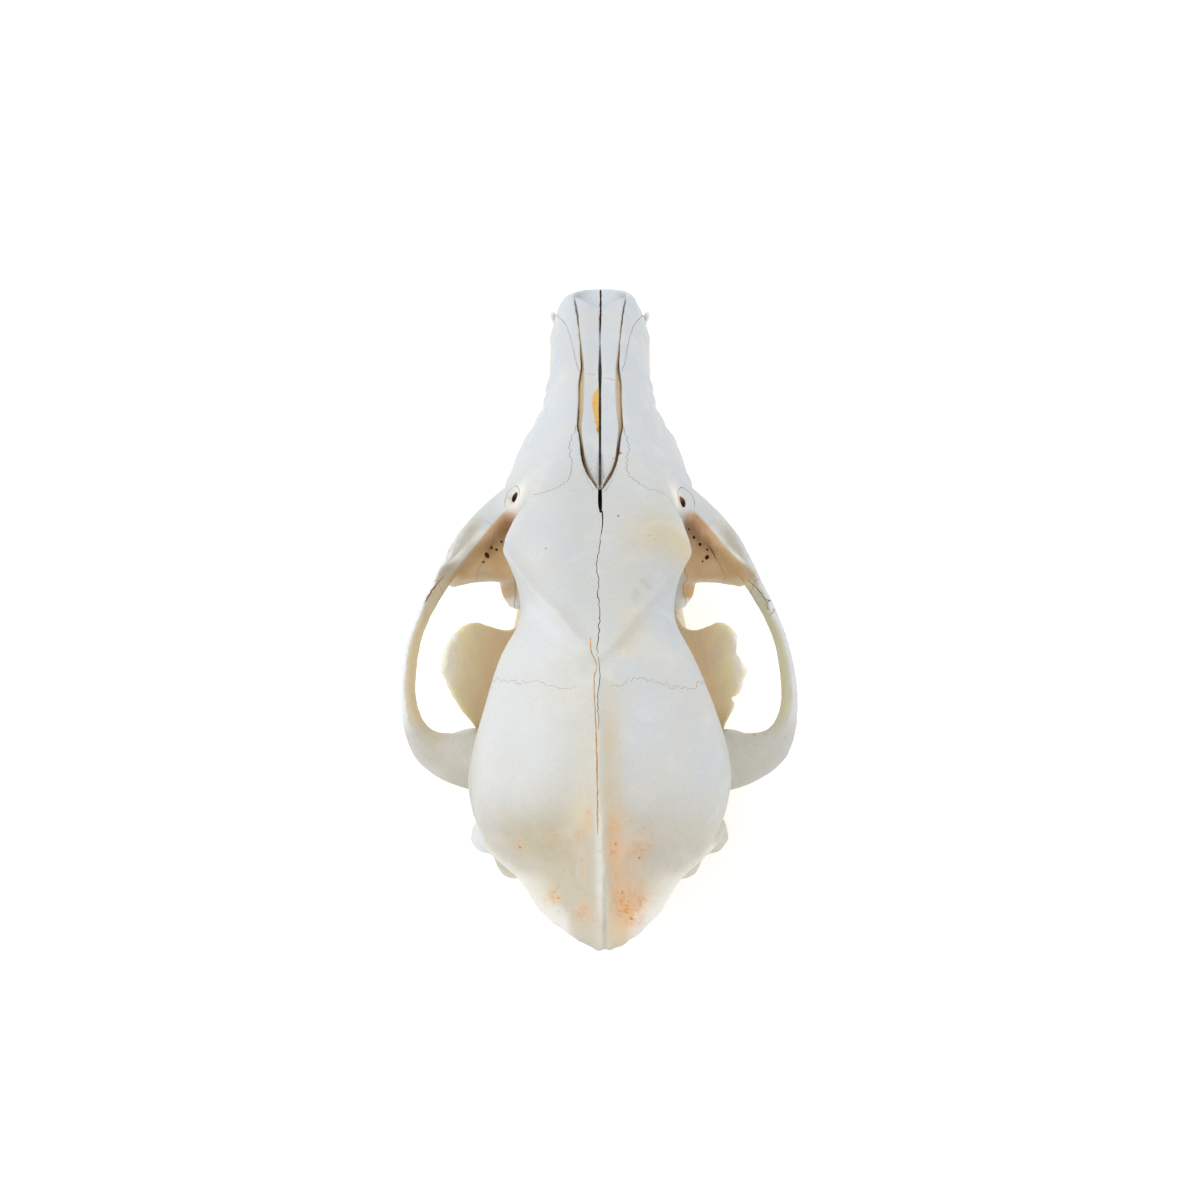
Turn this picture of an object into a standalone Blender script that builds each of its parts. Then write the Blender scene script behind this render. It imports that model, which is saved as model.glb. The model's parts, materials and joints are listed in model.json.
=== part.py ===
# Coyote skull with its lower jaw, at life size, resting on the jaw with the teeth closed.
#
# Anatomical frame used by every table below, in millimetres of a 198 mm skull:
#   x  sideways from the midline, left side of the picture positive
#   y  back from the front of the upper jaw
#   z  up from the plane of the upper tooth sockets
# The last step turns that frame into Blender's metres, with the jaw on the floor.

import math

import bmesh
import bpy
import numpy as np
from mathutils import Matrix, Vector

# Driving dimensions
SKULL_LENGTH = 0.198
TABLE_LENGTH = 198.0
UNIT = SKULL_LENGTH / TABLE_LENGTH
REST_PITCH = math.radians(7.0)
FLOOR_LEVEL = -41.75
BOX_MIDDLE = 101.7
SUTURE_GAP = 0.32
JAW_HALF_GAP = 0.17

# Fineness of the solids
VOXEL = 0.75
SOFT_VOXEL = 0.9
SKULL_TRIANGLES = 6900
JAW_TRIANGLES = 1250
LOFT_STEP = 2.5
RING_SIDES = 40

BONE = (0.80, 0.78, 0.72, 1.0)
BONE_ROUGHNESS = 0.55
SHARP_ANGLE = math.radians(42.0)

# Upper face, each row: y, top z, top half-width, middle half-width, socket half-width, palate z
FACE = [
    (1.2, 3.6, 6.2, 8.0, 8.4, 1.2),
    (3.0, 6.6, 7.6, 9.4, 9.8, 1.6),
    (6.0, 10.2, 8.8, 11.0, 11.4, 2.0),
    (9.4, 14.6, 9.4, 11.7, 11.9, 2.5),
    (12.6, 18.3, 9.5, 12.3, 12.7, 3.0),
    (15.4, 20.9, 9.2, 12.9, 14.4, 3.3),
    (20.0, 22.9, 9.0, 13.3, 15.0, 3.8),
    (28.0, 24.4, 8.4, 12.9, 15.2, 4.3),
    (37.0, 25.8, 7.9, 13.0, 15.9, 4.8),
    (45.0, 27.0, 7.9, 13.9, 17.3, 5.0),
    (51.5, 28.0, 8.3, 16.0, 20.4, 5.2),
    (58.0, 29.0, 9.2, 18.6, 23.9, 5.4),
    (66.0, 30.7, 10.8, 21.0, 26.2, 5.6),
    (74.0, 33.2, 12.9, 22.9, 28.0, 5.6),
    (81.0, 36.2, 15.0, 23.8, 28.4, 5.6),
    (87.0, 38.8, 16.2, 22.8, 28.0, 5.6),
    (92.0, 39.0, 14.0, 18.0, 26.5, 5.4),
]

# Tooth-bearing shelf that floors the orbit, each row: y, half-width, top z
SHELF = [
    (66.0, 22.5, 12.0),
    (76.0, 27.5, 13.5),
    (84.0, 29.3, 14.0),
    (92.0, 29.5, 13.5),
    (98.0, 28.2, 12.0),
    (102.0, 27.6, 10.4),
    (105.5, 26.6, 8.8),
    (108.0, 24.0, 7.0),
]

# Floor of the orbit between that shelf and the cheek arch, as seen from above, each row: x, y
ORBIT_FLOOR = [
    (16.0, 82.0), (25.0, 82.0), (32.0, 88.0), (37.0, 94.0), (40.6, 100.0), (41.6, 104.2),
    (38.4, 103.0), (34.0, 102.3), (29.0, 102.0), (24.0, 102.2), (16.0, 102.2),
]
ORBIT_FLOOR_LEVELS = (9.0, 17.0)

# Vault from the forehead to the occiput, each row:
# y, half-width, z of the greatest width, top z, bottom z, upper power, lower power
VAULT = [
    (80.0, 13.0, 30.0, 34.8, 22.0, 2.0, 1.6),
    (85.0, 17.0, 33.5, 37.8, 22.0, 2.0, 1.5),
    (90.0, 19.6, 35.8, 41.3, 21.5, 2.1, 1.3),
    (95.5, 21.8, 38.2, 44.8, 21.0, 2.2, 1.2),
    (100.0, 23.0, 40.8, 47.2, 20.5, 2.3, 1.1),
    (105.0, 23.9, 42.6, 49.5, 20.0, 2.4, 1.0),
    (109.0, 22.9, 43.0, 51.0, 19.5, 2.4, 1.0),
    (113.0, 20.5, 42.8, 52.3, 19.0, 2.3, 1.05),
    (117.0, 19.1, 42.0, 53.3, 17.5, 2.2, 1.2),
    (121.0, 18.6, 41.0, 54.2, 16.5, 2.1, 1.4),
    (125.0, 19.6, 40.0, 54.9, 15.5, 2.1, 1.7),
    (130.5, 22.9, 38.5, 55.7, 15.0, 2.1, 2.0),
    (137.0, 25.5, 37.0, 56.4, 14.5, 2.1, 2.2),
    (146.5, 28.7, 34.5, 56.9, 14.5, 2.1, 2.3),
    (154.0, 30.6, 33.0, 56.4, 14.5, 2.1, 2.3),
    (160.5, 31.4, 32.0, 54.9, 14.5, 2.1, 2.3),
    (166.0, 30.5, 31.5, 52.6, 14.5, 2.1, 2.2),
    (172.0, 27.6, 31.0, 49.0, 15.0, 2.1, 2.1),
    (178.0, 22.6, 30.5, 44.0, 16.0, 2.1, 2.0),
    (183.5, 16.0, 29.0, 38.0, 18.0, 2.0, 2.0),
    (186.5, 9.0, 27.5, 33.0, 21.0, 2.0, 2.0),
]

# Narrow wall between the orbits and the floor of the braincase, each row: y, half-width, top z, bottom z
KEEL = [
    (78.0, 16.0, 34.0, 6.5),
    (86.0, 12.5, 36.0, 8.0),
    (94.0, 10.4, 38.0, 10.0),
    (104.0, 9.4, 40.0, 12.5),
    (114.0, 9.0, 40.0, 13.5),
    (124.0, 9.8, 38.0, 13.5),
    (134.0, 13.0, 34.0, 13.5),
    (146.0, 14.0, 30.0, 13.5),
    (160.0, 12.5, 28.0, 13.5),
    (174.0, 13.5, 26.0, 13.2),
    (184.0, 10.0, 22.0, 13.6),
]

# Cheek arch from the upper jaw round to the ear, each row:
# x, y, z, half-thickness, half-height, roll in degrees
ARCH = [
    (21.0, 74.0, 13.0, 3.6, 6.0, 30.0),
    (25.8, 81.0, 14.8, 4.2, 8.2, 38.0),
    (31.2, 87.2, 15.8, 3.6, 8.6, 42.0),
    (35.4, 92.6, 16.6, 2.8, 8.2, 42.0),
    (38.8, 98.6, 17.6, 2.3, 7.4, 36.0),
    (41.7, 104.4, 18.6, 2.1, 7.2, 26.0),
    (44.2, 109.6, 19.0, 1.9, 6.4, 16.0),
    (46.2, 115.0, 19.8, 1.7, 5.8, 9.0),
    (47.8, 120.5, 20.4, 1.7, 5.5, 5.0),
    (49.0, 128.5, 20.6, 1.7, 5.3, 0.0),
    (49.3, 135.0, 20.0, 1.8, 5.1, -3.0),
    (48.5, 141.3, 18.8, 2.4, 4.6, -5.0),
    (46.8, 145.8, 17.6, 3.6, 4.0, -5.0),
    (43.8, 149.2, 16.6, 5.1, 3.8, 0.0),
    (39.2, 151.2, 16.0, 6.4, 4.2, 0.0),
    (33.2, 152.6, 16.4, 7.5, 5.2, 0.0),
    (25.5, 153.0, 18.0, 8.0, 6.0, 0.0),
]

# Shelf behind the vault that carries the nuchal crest, each row:
# y, rim x, rim z, top z at the midline, bottom z at the midline
NUCHAL_SHELF = [
    (163.0, 27.0, 30.0, 51.5, 18.0),
    (168.0, 27.5, 30.0, 49.8, 18.0),
    (173.0, 26.6, 30.6, 48.6, 18.0),
    (176.1, 25.7, 32.0, 48.3, 20.0),
    (180.0, 21.6, 36.4, 48.3, 24.0),
    (183.3, 17.5, 40.0, 48.6, 30.0),
    (186.6, 14.9, 43.2, 49.3, 35.0),
    (190.7, 11.5, 47.8, 51.0, 41.5),
    (193.2, 8.4, 50.6, 52.2, 45.4),
    (195.5, 5.4, 52.4, 53.2, 49.0),
    (198.1, 2.0, 53.4, 54.0, 52.0),
]

# Rim of the nuchal crest from the midline down to the mastoid, each row: x, y, z, half-thickness, half-depth
NUCHAL_RIM = [
    (0.0, 198.5, 53.6, 1.1, 2.4),
    (4.9, 196.2, 52.5, 0.95, 2.4),
    (8.7, 193.6, 50.4, 0.9, 2.4),
    (12.0, 190.9, 47.6, 0.85, 2.4),
    (15.1, 187.0, 43.0, 0.85, 2.4),
    (17.8, 183.6, 39.8, 0.85, 2.4),
    (21.8, 180.0, 36.0, 0.95, 2.6),
    (25.6, 176.4, 32.0, 1.2, 3.2),
    (28.8, 173.6, 27.0, 1.4, 4.0),
    (31.2, 172.0, 22.0, 1.7, 5.0),
    (31.9, 172.4, 16.5, 2.0, 5.0),
]

# Sagittal crest, each row: y, top z, half-thickness at the top, half-width of its foot, z of its foot
CREST = [
    (128.0, 54.4, 0.7, 5.0, 52.0),
    (138.0, 57.2, 0.8, 6.0, 53.6),
    (146.0, 58.8, 0.9, 7.0, 54.2),
    (156.0, 59.6, 1.0, 8.0, 52.4),
    (166.0, 59.2, 1.1, 8.0, 49.6),
    (176.0, 57.6, 1.2, 7.0, 47.6),
    (186.0, 55.8, 1.3, 5.6, 48.2),
    (193.0, 54.6, 1.5, 4.0, 50.4),
    (197.6, 54.0, 1.6, 2.4, 52.0),
]
CREST_EDGE_DEPTH = 5.0

# Outline of the nasal bones from above, each row: y, half-width, top z over the bone
NASALS = [
    (10.0, 8.4, 20.0),
    (15.2, 7.6, 21.6),
    (25.9, 6.2, 24.1),
    (37.0, 5.3, 25.8),
    (46.0, 5.3, 27.1),
    (54.7, 5.5, 28.5),
    (63.5, 5.6, 30.1),
    (74.0, 4.4, 33.2),
    (81.4, 2.3, 36.3),
    (86.4, 0.45, 38.4),
]
NASAL_DEPTH = 2.3
NASAL_NOTCH = 20.6

# Seam between the face and the braincase from above, each row: x, y. It leans back below.
FACE_SEAM = [
    (0.0, 62.6),
    (6.0, 62.6),
    (6.9, 70.0),
    (7.6, 78.0),
    (9.6, 81.8),
    (14.4, 84.7),
    (19.0, 86.0),
    (22.0, 87.0),
    (24.5, 92.0),
    (30.0, 101.0),
    (36.0, 103.0),
]
FACE_SEAM_LEVEL = 36.0
FACE_SEAM_LEAN = 0.52

# Seam along the arch from the side, each row: y, z
ARCH_SEAM = [
    (101.0, 32.0), (104.6, 26.0), (109.0, 19.5), (118.0, 17.8), (130.0, 17.0), (139.0, 15.4), (146.0, 11.0),
]

# Seam between the upper jaw and the cheekbone from above, each row: x, y
CHEEK_SEAM = [
    (41.0, 83.0), (36.6, 85.2), (31.0, 88.2), (28.6, 90.6), (30.0, 95.0), (33.2, 100.4), (36.4, 107.5),
]

# Slight bend of the skull to its left, each row: y, shift at the midline, shift at the sides
BEND = [
    (0.0, 0.0, 0.0), (50.0, 0.0, 0.1), (64.0, 0.0, 0.5), (85.0, 0.0, 0.5), (96.0, 0.0, 0.75), (108.0, 0.6, 0.8),
    (125.0, 0.4, 0.6), (136.0, 0.6, 0.3), (155.0, 0.6, -0.1), (170.0, 0.4, 0.1), (185.0, 0.1, 0.1),
    (190.0, -0.3, -0.4), (199.0, -1.1, -1.1),
]

# Lower jaw, one side. Body rows: x, y, half-thickness, ventral z, socket z
JAW_BODY = [
    (3.8, 4.0, 4.0, -17.0, -11.8),
    (5.0, 8.0, 5.6, -21.0, -11.4),
    (6.5, 14.0, 5.8, -24.8, -11.0),
    (7.4, 21.0, 4.1, -27.2, -11.4),
    (9.4, 28.0, 4.2, -28.6, -11.8),
    (11.2, 34.0, 3.9, -28.8, -11.9),
    (13.3, 48.0, 4.1, -30.0, -11.8),
    (16.1, 62.0, 4.4, -31.2, -11.2),
    (18.6, 77.0, 4.5, -31.6, -10.4),
    (20.3, 90.0, 4.2, -31.4, -8.6),
    (21.4, 101.0, 3.6, -30.4, -6.0),
    (22.8, 109.0, 3.2, -28.8, -6.0),
    (25.4, 118.0, 2.8, -27.0, -8.0),
]

# Ramus as level sections, each row: z, front y, back y, x at the front, x at the back, half-thickness
RAMUS = [
    (-27.4, 100.0, 128.0, 22.2, 26.6, 1.6),
    (-24.4, 98.0, 140.0, 21.8, 28.4, 2.6),
    (-18.0, 99.5, 144.5, 21.6, 29.6, 2.8),
    (-10.0, 103.0, 146.0, 21.6, 30.8, 2.5),
    (-3.0, 108.0, 147.0, 22.0, 31.6, 2.2),
    (2.0, 112.2, 146.0, 23.6, 32.0, 2.0),
    (6.0, 114.2, 144.2, 26.2, 32.2, 1.9),
    (12.0, 115.1, 142.6, 29.3, 32.8, 1.7),
    (19.0, 116.0, 141.2, 32.2, 34.1, 1.6),
    (25.0, 118.8, 139.0, 34.3, 35.4, 1.5),
    (29.0, 122.2, 136.6, 35.8, 36.4, 1.3),
    (32.8, 127.4, 133.6, 37.2, 37.6, 0.9),
]
# How far each coronoid process leans to the skull's left, at its tip
CORONOID_LEAN = 1.4


# Teeth, each row: name, x, y, turn of its long axis in degrees, root z, rim z, then cusps.
# A cusp is: forward offset, sideways offset, tip z, half-length, half-width.
UPPER_TEETH = [
    ("incisor_1", 2.0, 2.6, 88.0, 3.0, 0.3, [(0.0, 0.0, -5.8, 1.8, 1.7)]),
    ("incisor_2", 5.8, 3.6, 72.0, 3.0, 0.3, [(0.0, 0.0, -6.4, 2.0, 1.8)]),
    ("incisor_3", 9.2, 6.2, 45.0, 3.0, 0.3, [(0.3, 0.4, -8.6, 2.4, 2.0)]),
    ("canine", 13.5, 19.4, 4.0, 5.0, 0.5, [(-0.9, 2.7, -21.0, 4.3, 2.5)]),
    ("premolar_1", 14.6, 29.0, 3.0, 3.0, 0.5, [(0.0, 0.0, -4.6, 2.5, 1.6)]),
    ("premolar_2", 15.2, 39.0, 6.0, 3.0, 0.5, [(0.6, 0.0, -6.6, 4.9, 1.9), (-3.6, 0.0, -2.8, 1.7, 1.4)]),
    ("premolar_3", 17.2, 51.6, 15.0, 3.0, 0.5, [(0.7, 0.0, -7.4, 5.6, 2.1), (-4.2, 0.0, -3.4, 1.9, 1.6)]),
    (
        "carnassial", 23.9, 72.6, 17.0, 3.0, 0.5,
        [(2.8, 0.6, -10.6, 6.2, 2.9), (-5.4, 0.4, -7.6, 4.2, 2.4), (6.6, -3.4, -3.6, 2.6, 2.4)],
    ),
    (
        "molar_1", 22.4, 89.2, 2.0, 3.0, 0.6,
        [
            (2.6, 3.9, -6.2, 3.2, 2.8), (-2.8, 3.5, -5.2, 3.0, 2.6),
            (0.0, -1.6, -4.0, 5.2, 5.0), (0.4, -5.0, -2.8, 3.6, 2.6),
        ],
    ),
    (
        "molar_2", 22.2, 102.2, -4.0, 3.0, 0.6,
        [(1.0, 2.6, -3.9, 2.4, 2.0), (-1.4, 2.2, -3.4, 2.0, 1.8), (0.0, -1.2, -2.8, 3.1, 3.6)],
    ),
]
LOWER_TEETH = [
    ("incisor_1", 1.6, 4.6, 88.0, -14.5, -11.6, [(0.3, 0.0, -6.6, 1.3, 1.5)]),
    ("incisor_2", 4.1, 4.9, 80.0, -14.5, -11.6, [(0.3, 0.0, -6.4, 1.4, 1.6)]),
    ("incisor_3", 6.6, 6.6, 62.0, -14.5, -11.6, [(0.3, 0.0, -6.4, 1.6, 1.6)]),
    ("canine", 9.8, 12.8, -6.0, -16.0, -11.6, [(2.6, 5.6, 5.0, 4.0, 2.6)]),
    ("premolar_1", 10.3, 23.4, 6.0, -14.5, -11.6, [(0.0, 0.0, -8.6, 2.0, 1.4)]),
    ("premolar_2", 11.2, 32.6, 7.0, -14.5, -11.6, [(0.6, 0.0, -6.4, 4.1, 1.7), (-3.0, 0.0, -9.0, 1.5, 1.3)]),
    ("premolar_3", 12.7, 44.6, 9.0, -14.5, -11.6, [(0.6, 0.0, -5.8, 4.8, 1.9), (-3.8, 0.0, -8.6, 1.7, 1.5)]),
    ("premolar_4", 14.6, 56.9, 10.0, -14.5, -11.6, [(0.6, 0.0, -5.2, 5.4, 2.2), (-4.4, 0.0, -8.0, 2.0, 1.8)]),
    (
        "carnassial", 17.6, 73.2, 10.0, -14.0, -10.8,
        [(6.2, 0.0, -5.0, 3.8, 2.5), (0.6, 0.2, -1.6, 4.6, 3.1), (-7.2, -0.2, -7.2, 3.6, 3.0)],
    ),
    ("molar_2", 19.8, 91.0, 10.0, -12.0, -8.8, [(1.6, 0.4, -6.6, 2.9, 2.4), (-2.2, 0.0, -6.8, 2.2, 2.2)]),
    ("molar_3", 20.8, 99.0, 10.0, -10.0, -6.8, [(0.0, 0.0, -5.0, 1.9, 1.8)]),
]

# Smooth keys along a loft
def interpolate(rows, at):
    """Values of the rows' later columns where the first column is `at`, on a smooth curve through them."""
    rows = np.array(rows, float)
    keys, values = rows[:, 0], rows[:, 1:]
    slopes = np.gradient(values, keys, axis=0)
    index = np.clip(np.searchsorted(keys, at) - 1, 0, len(keys) - 2)
    span = (keys[index + 1] - keys[index])[:, None]
    t = (np.asarray(at) - keys[index])[:, None] / span
    start, end = values[index], values[index + 1]
    return (
        (2 * t**3 - 3 * t**2 + 1) * start
        + (t**3 - 2 * t**2 + t) * span * slopes[index]
        + (3 * t**2 - 2 * t**3) * end
        + (t**3 - t**2) * span * slopes[index + 1]
    )


def stations(rows, step=LOFT_STEP):
    """Evenly spaced stations from the first row's key to the last row's."""
    first, last = rows[0][0], rows[-1][0]
    return np.linspace(first, last, max(2, int(round(abs(last - first) / step)) + 1))


def closed_curve(points, sides):
    """A smooth closed ring of `sides` points through the given ones."""
    points = np.array(points, float)
    count = len(points)
    keys = np.arange(-2, count + 3)
    rows = np.column_stack([keys, points[keys % count]])
    return interpolate(rows, np.arange(sides) * count / sides)


# Closed meshes
def new_object(name, vertices, faces):
    mesh = bpy.data.meshes.new(name)
    mesh.from_pydata([tuple(map(float, v)) for v in vertices], [], faces)
    return link(name, outward(mesh))


def outward(mesh):
    """The same mesh with its faces turned to point out."""
    bm = bmesh.new()
    bm.from_mesh(mesh)
    bmesh.ops.recalc_face_normals(bm, faces=bm.faces)
    bm.to_mesh(mesh)
    bm.free()
    return mesh


def link(name, mesh):
    obj = bpy.data.objects.new(name, mesh)
    bpy.context.scene.collection.objects.link(obj)
    return obj


def loft(name, rings):
    """A closed skin over rings that all have the same number of points."""
    sides = len(rings[0])
    faces = [list(range(sides)), [len(rings) * sides - 1 - i for i in range(sides)]]
    for r in range(len(rings) - 1):
        for i in range(sides):
            j = (i + 1) % sides
            faces.append([r * sides + i, r * sides + j, (r + 1) * sides + j, (r + 1) * sides + i])
    return new_object(name, np.concatenate(rings), faces)


def ellipsoid(name, centre, radii, turn=(0.0, 0.0, 0.0)):
    """A scaled and turned UV sphere. `turn` is in degrees about x, y and z."""
    bm = bmesh.new()
    bmesh.ops.create_uvsphere(bm, u_segments=32, v_segments=18, radius=1.0)
    angles = [math.radians(a) for a in turn]
    rotation = Matrix.Rotation(angles[2], 4, "Z") @ Matrix.Rotation(angles[1], 4, "Y")
    rotation = rotation @ Matrix.Rotation(angles[0], 4, "X")
    place = Matrix.Translation(centre) @ rotation @ Matrix.Diagonal((*radii, 1.0))
    bmesh.ops.transform(bm, matrix=place, verts=bm.verts)
    mesh = bpy.data.meshes.new(name)
    bm.to_mesh(mesh)
    bm.free()
    return link(name, mesh)


def level_stack(name, levels, turn=0.0, sides=16):
    """Level ellipses stacked up. A level is: x, y, z, half-length along y, half-width along x."""
    angle = math.radians(turn)
    around = np.arange(sides) * 2 * math.pi / sides
    rings = []
    for x, y, z, half_length, half_width in levels:
        along, across = half_length * np.cos(around), half_width * np.sin(around)
        ring_x = x + across * math.cos(angle) + along * math.sin(angle)
        ring_y = y + along * math.cos(angle) - across * math.sin(angle)
        rings.append(np.column_stack([ring_x, ring_y, np.full(sides, z)]))
    return loft(name, rings)


def sweep(name, rows, deep_of, step=LOFT_STEP, sides=16):
    """Ellipses swept along a path. A row is: x, y, z, half-thickness, half-depth and any more columns;
    deep_of(point, tangent, more) gives the direction of the depth."""
    rows = np.array(rows, float)
    lengths = np.concatenate([[0], np.cumsum(np.linalg.norm(np.diff(rows[:, :3], axis=0), axis=1))])
    keyed = np.column_stack([lengths, rows])
    values = interpolate(keyed, stations(keyed, step))
    tangents = np.gradient(values[:, :3], axis=0)
    around = np.arange(sides) * 2 * math.pi / sides
    rings = []
    for value, tangent in zip(values, tangents):
        tangent = tangent / np.linalg.norm(tangent)
        deep = np.array(deep_of(value[:3], tangent, value[5:]), float)
        deep = deep - tangent * deep.dot(tangent)
        deep = deep / np.linalg.norm(deep)
        thin = np.cross(tangent, deep)
        across = np.outer(np.cos(around) * value[3], thin)
        along = np.outer(np.sin(around) * value[4], deep)
        rings.append(value[:3] + across + along)
    return loft(name, rings)


def rolled_up(point, tangent, more):
    """Straight up, rolled about the path by the row's angle, so that the lower edge stands out."""
    side = np.cross(tangent, (0.0, 0.0, 1.0))
    side = side / np.linalg.norm(side)
    roll = math.radians(more[0])
    return np.array([0.0, 0.0, math.cos(roll)]) - side * math.sin(roll)


# Modifiers
def evaluated(obj):
    """The object's mesh with its modifiers applied."""
    graph = bpy.context.evaluated_depsgraph_get()
    return bpy.data.meshes.new_from_object(obj.evaluated_get(graph))


def apply_modifiers(obj):
    mesh = evaluated(obj)
    obj.modifiers.clear()
    obj.data = mesh
    return obj


def joined(name, pieces):
    """One object that holds the pieces' shells, which may cross each other."""
    bm = bmesh.new()
    for piece in pieces:
        bm.from_mesh(piece.data)
        bpy.data.objects.remove(piece)
    mesh = bpy.data.meshes.new(name)
    bm.to_mesh(mesh)
    bm.free()
    return link(name, mesh)


def fused(name, pieces, voxel, smoothing):
    """The pieces as one skin: a voxel remesh, then smoothing that rounds the joins."""
    obj = joined(name, pieces)
    remesh = obj.modifiers.new("remesh", "REMESH")
    remesh.mode = "VOXEL"
    remesh.voxel_size = voxel
    if smoothing:
        smooth = obj.modifiers.new("smooth", "SMOOTH")
        smooth.factor = 0.5
        smooth.iterations = smoothing
    return apply_modifiers(obj)


def boolean(obj, others, operation):
    """Cuts, joins or keeps the common part with closed mesh objects, which are then removed."""
    helper = bpy.data.collections.new("helpers")
    bpy.context.scene.collection.children.link(helper)
    for other in others:
        helper.objects.link(other)
    modifier = obj.modifiers.new("boolean", "BOOLEAN")
    modifier.operation = operation
    modifier.solver = "MANIFOLD"
    modifier.operand_type = "COLLECTION"
    modifier.collection = helper
    apply_modifiers(obj)
    for other in others:
        bpy.data.objects.remove(other)
    bpy.data.collections.remove(helper)
    return obj


def reduced(obj, triangles):
    """The object collapsed to about that many triangles."""
    obj.data.calc_loop_triangles()
    ratio = triangles / len(obj.data.loop_triangles)
    if ratio < 1:
        modifier = obj.modifiers.new("decimate", "DECIMATE")
        modifier.ratio = ratio
        apply_modifiers(obj)
    return obj


def mirrored(pieces):
    """The pieces and their mirror images across the midline."""
    images = []
    for piece in pieces:
        mesh = piece.data.copy()
        mesh.transform(Matrix.Diagonal((-1.0, 1.0, 1.0, 1.0)))
        mesh.flip_normals()
        images.append(link(piece.name + "_image", mesh))
    return pieces + images


def copied(obj, name):
    return link(name, obj.data.copy())


# Upper skull
def face_ring(y, values):
    top, shoulder, middle, socket, palate = values
    half = [
        (0.0, top),
        (shoulder * 0.62, top - 0.35),
        (shoulder, top - 2.0),
        (middle, top * 0.52 + 1.5),
        (socket, 4.5),
        (socket - 0.9, 0.4),
        (socket - 4.5, 1.4),
        (socket * 0.4, palate),
        (0.0, palate),
    ]
    ring = half + [(-x, z) for x, z in half[-2:0:-1]]
    flat = closed_curve(ring, RING_SIDES)
    return np.column_stack([flat[:, 0], np.full(len(flat), y), flat[:, 1]])


def vault_ring(y, values):
    width, widest, top, bottom, upper_power, lower_power = values
    around = np.arange(RING_SIDES) * 2 * math.pi / RING_SIDES
    c, s = np.cos(around), np.sin(around)
    power = np.where(s >= 0, upper_power, lower_power)
    height = np.where(s >= 0, top - widest, widest - bottom)
    x = width * np.sign(c) * np.abs(c) ** (2 / power)
    z = widest + height * np.sign(s) * np.abs(s) ** (2 / power)
    return np.column_stack([x, np.full(len(x), y), z])


def box_ring(y, half_width, top, bottom, power=3.0):
    return vault_ring(y, (half_width, (top + bottom) / 2, top, bottom, power, power))


def shelf_ring(y, values):
    rim_x, rim_z, top, bottom = values
    half = [
        (0.0, top),
        (rim_x * 0.3, top - (top - rim_z) * 0.30),
        (rim_x * 0.7, rim_z + (top - rim_z) * 0.34),
        (rim_x - 0.2, rim_z + 0.9),
        (rim_x, rim_z - 0.4),
        (rim_x * 0.72, rim_z - 1.6 + (bottom - rim_z) * 0.42),
        (rim_x * 0.34, bottom + (rim_z - bottom) * 0.1),
        (0.0, bottom),
    ]
    ring = half + [(-x, z) for x, z in half[-2:0:-1]]
    return np.array([(x, y, z) for x, z in ring])


def loft_along_y(name, rows, ring_of):
    at = stations(rows)
    return loft(name, [ring_of(y, value) for y, value in zip(at, interpolate(rows, at))])


def face():
    """The face and the floors of the orbits, with the arches grown from them."""
    front = loft_along_y("face", FACE, face_ring)
    shelf = loft_along_y("shelf", SHELF, lambda y, v: box_ring(y, v[0], v[1], 0.6))
    arch = sweep("arch", ARCH, rolled_up)
    post = ellipsoid("arch_post", (40.4, 103.6, 23.0), (1.9, 4.6, 3.2), (0.0, -20.0, -30.0))
    jugum = sweep("jugum", [
        (12.5, 18.4, 3.0, 2.9, 3.6), (11.8, 24.4, 9.0, 2.6, 3.2), (10.6, 31.0, 14.0, 1.4, 2.0)
    ], lambda point, tangent, more: (1.0, 0.0, 0.0))
    outline = np.array(ORBIT_FLOOR)
    floor = loft("orbit_floor", [
        np.column_stack([outline, np.full(len(outline), z)]) for z in ORBIT_FLOOR_LEVELS
    ])
    return [front, shelf] + mirrored([arch, post, jugum, floor])


def braincase():
    vault = loft_along_y("vault", VAULT, vault_ring)
    keel = loft_along_y("keel", KEEL, lambda y, v: box_ring(y, v[0], v[1], v[2], 2.6))
    return [vault, keel]


def occiput():
    """The bones round the foramen magnum, the ear and the jaw joint."""
    back = ellipsoid("occiput", (0.0, 172.0, 31.0), (25.0, 12.6, 17.0))
    condyle = ellipsoid("condyle", (10.6, 183.8, 17.0), (6.0, 7.2, 7.6), (-20.0, 0.0, 24.0))
    bulla = ellipsoid("bulla", (17.2, 158.0, 13.8), (8.6, 12.4, 9.0), (0.0, 0.0, -14.0))
    ear = sweep("ear_tube", [(20.0, 160.0, 17.5, 4.4, 4.4), (28.8, 161.6, 18.4, 4.0, 4.2)],
                lambda point, tangent, more: (0.0, 0.0, 1.0))
    mastoid = level_stack("mastoid", [
        (28.4, 172.0, 9.0, 1.6, 1.6), (28.4, 171.8, 12.0, 3.2, 3.0), (28.2, 171.4, 17.0, 4.5, 3.9),
        (27.8, 171.0, 23.0, 4.2, 3.6), (26.6, 171.0, 28.0, 3.0, 2.6)
    ])
    jugular = level_stack("jugular", [
        (22.6, 180.0, 4.0, 1.3, 1.7), (22.4, 179.6, 6.8, 2.0, 2.5), (21.7, 178.0, 12.0, 3.1, 3.9),
        (20.6, 175.8, 19.0, 4.4, 5.4)
    ])
    joint = ellipsoid("joint_roof", (33.2, 149.8, 10.4), (9.6, 7.0, 6.2))
    behind_joint = level_stack("behind_joint", [
        (32.6, 153.6, -0.8, 1.1, 4.4), (33.0, 153.9, 3.0, 1.9, 6.2), (33.2, 153.4, 9.0, 3.4, 8.0)
    ])
    return [back] + mirrored([condyle, bulla, ear, mastoid, jugular, joint, behind_joint])


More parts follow.
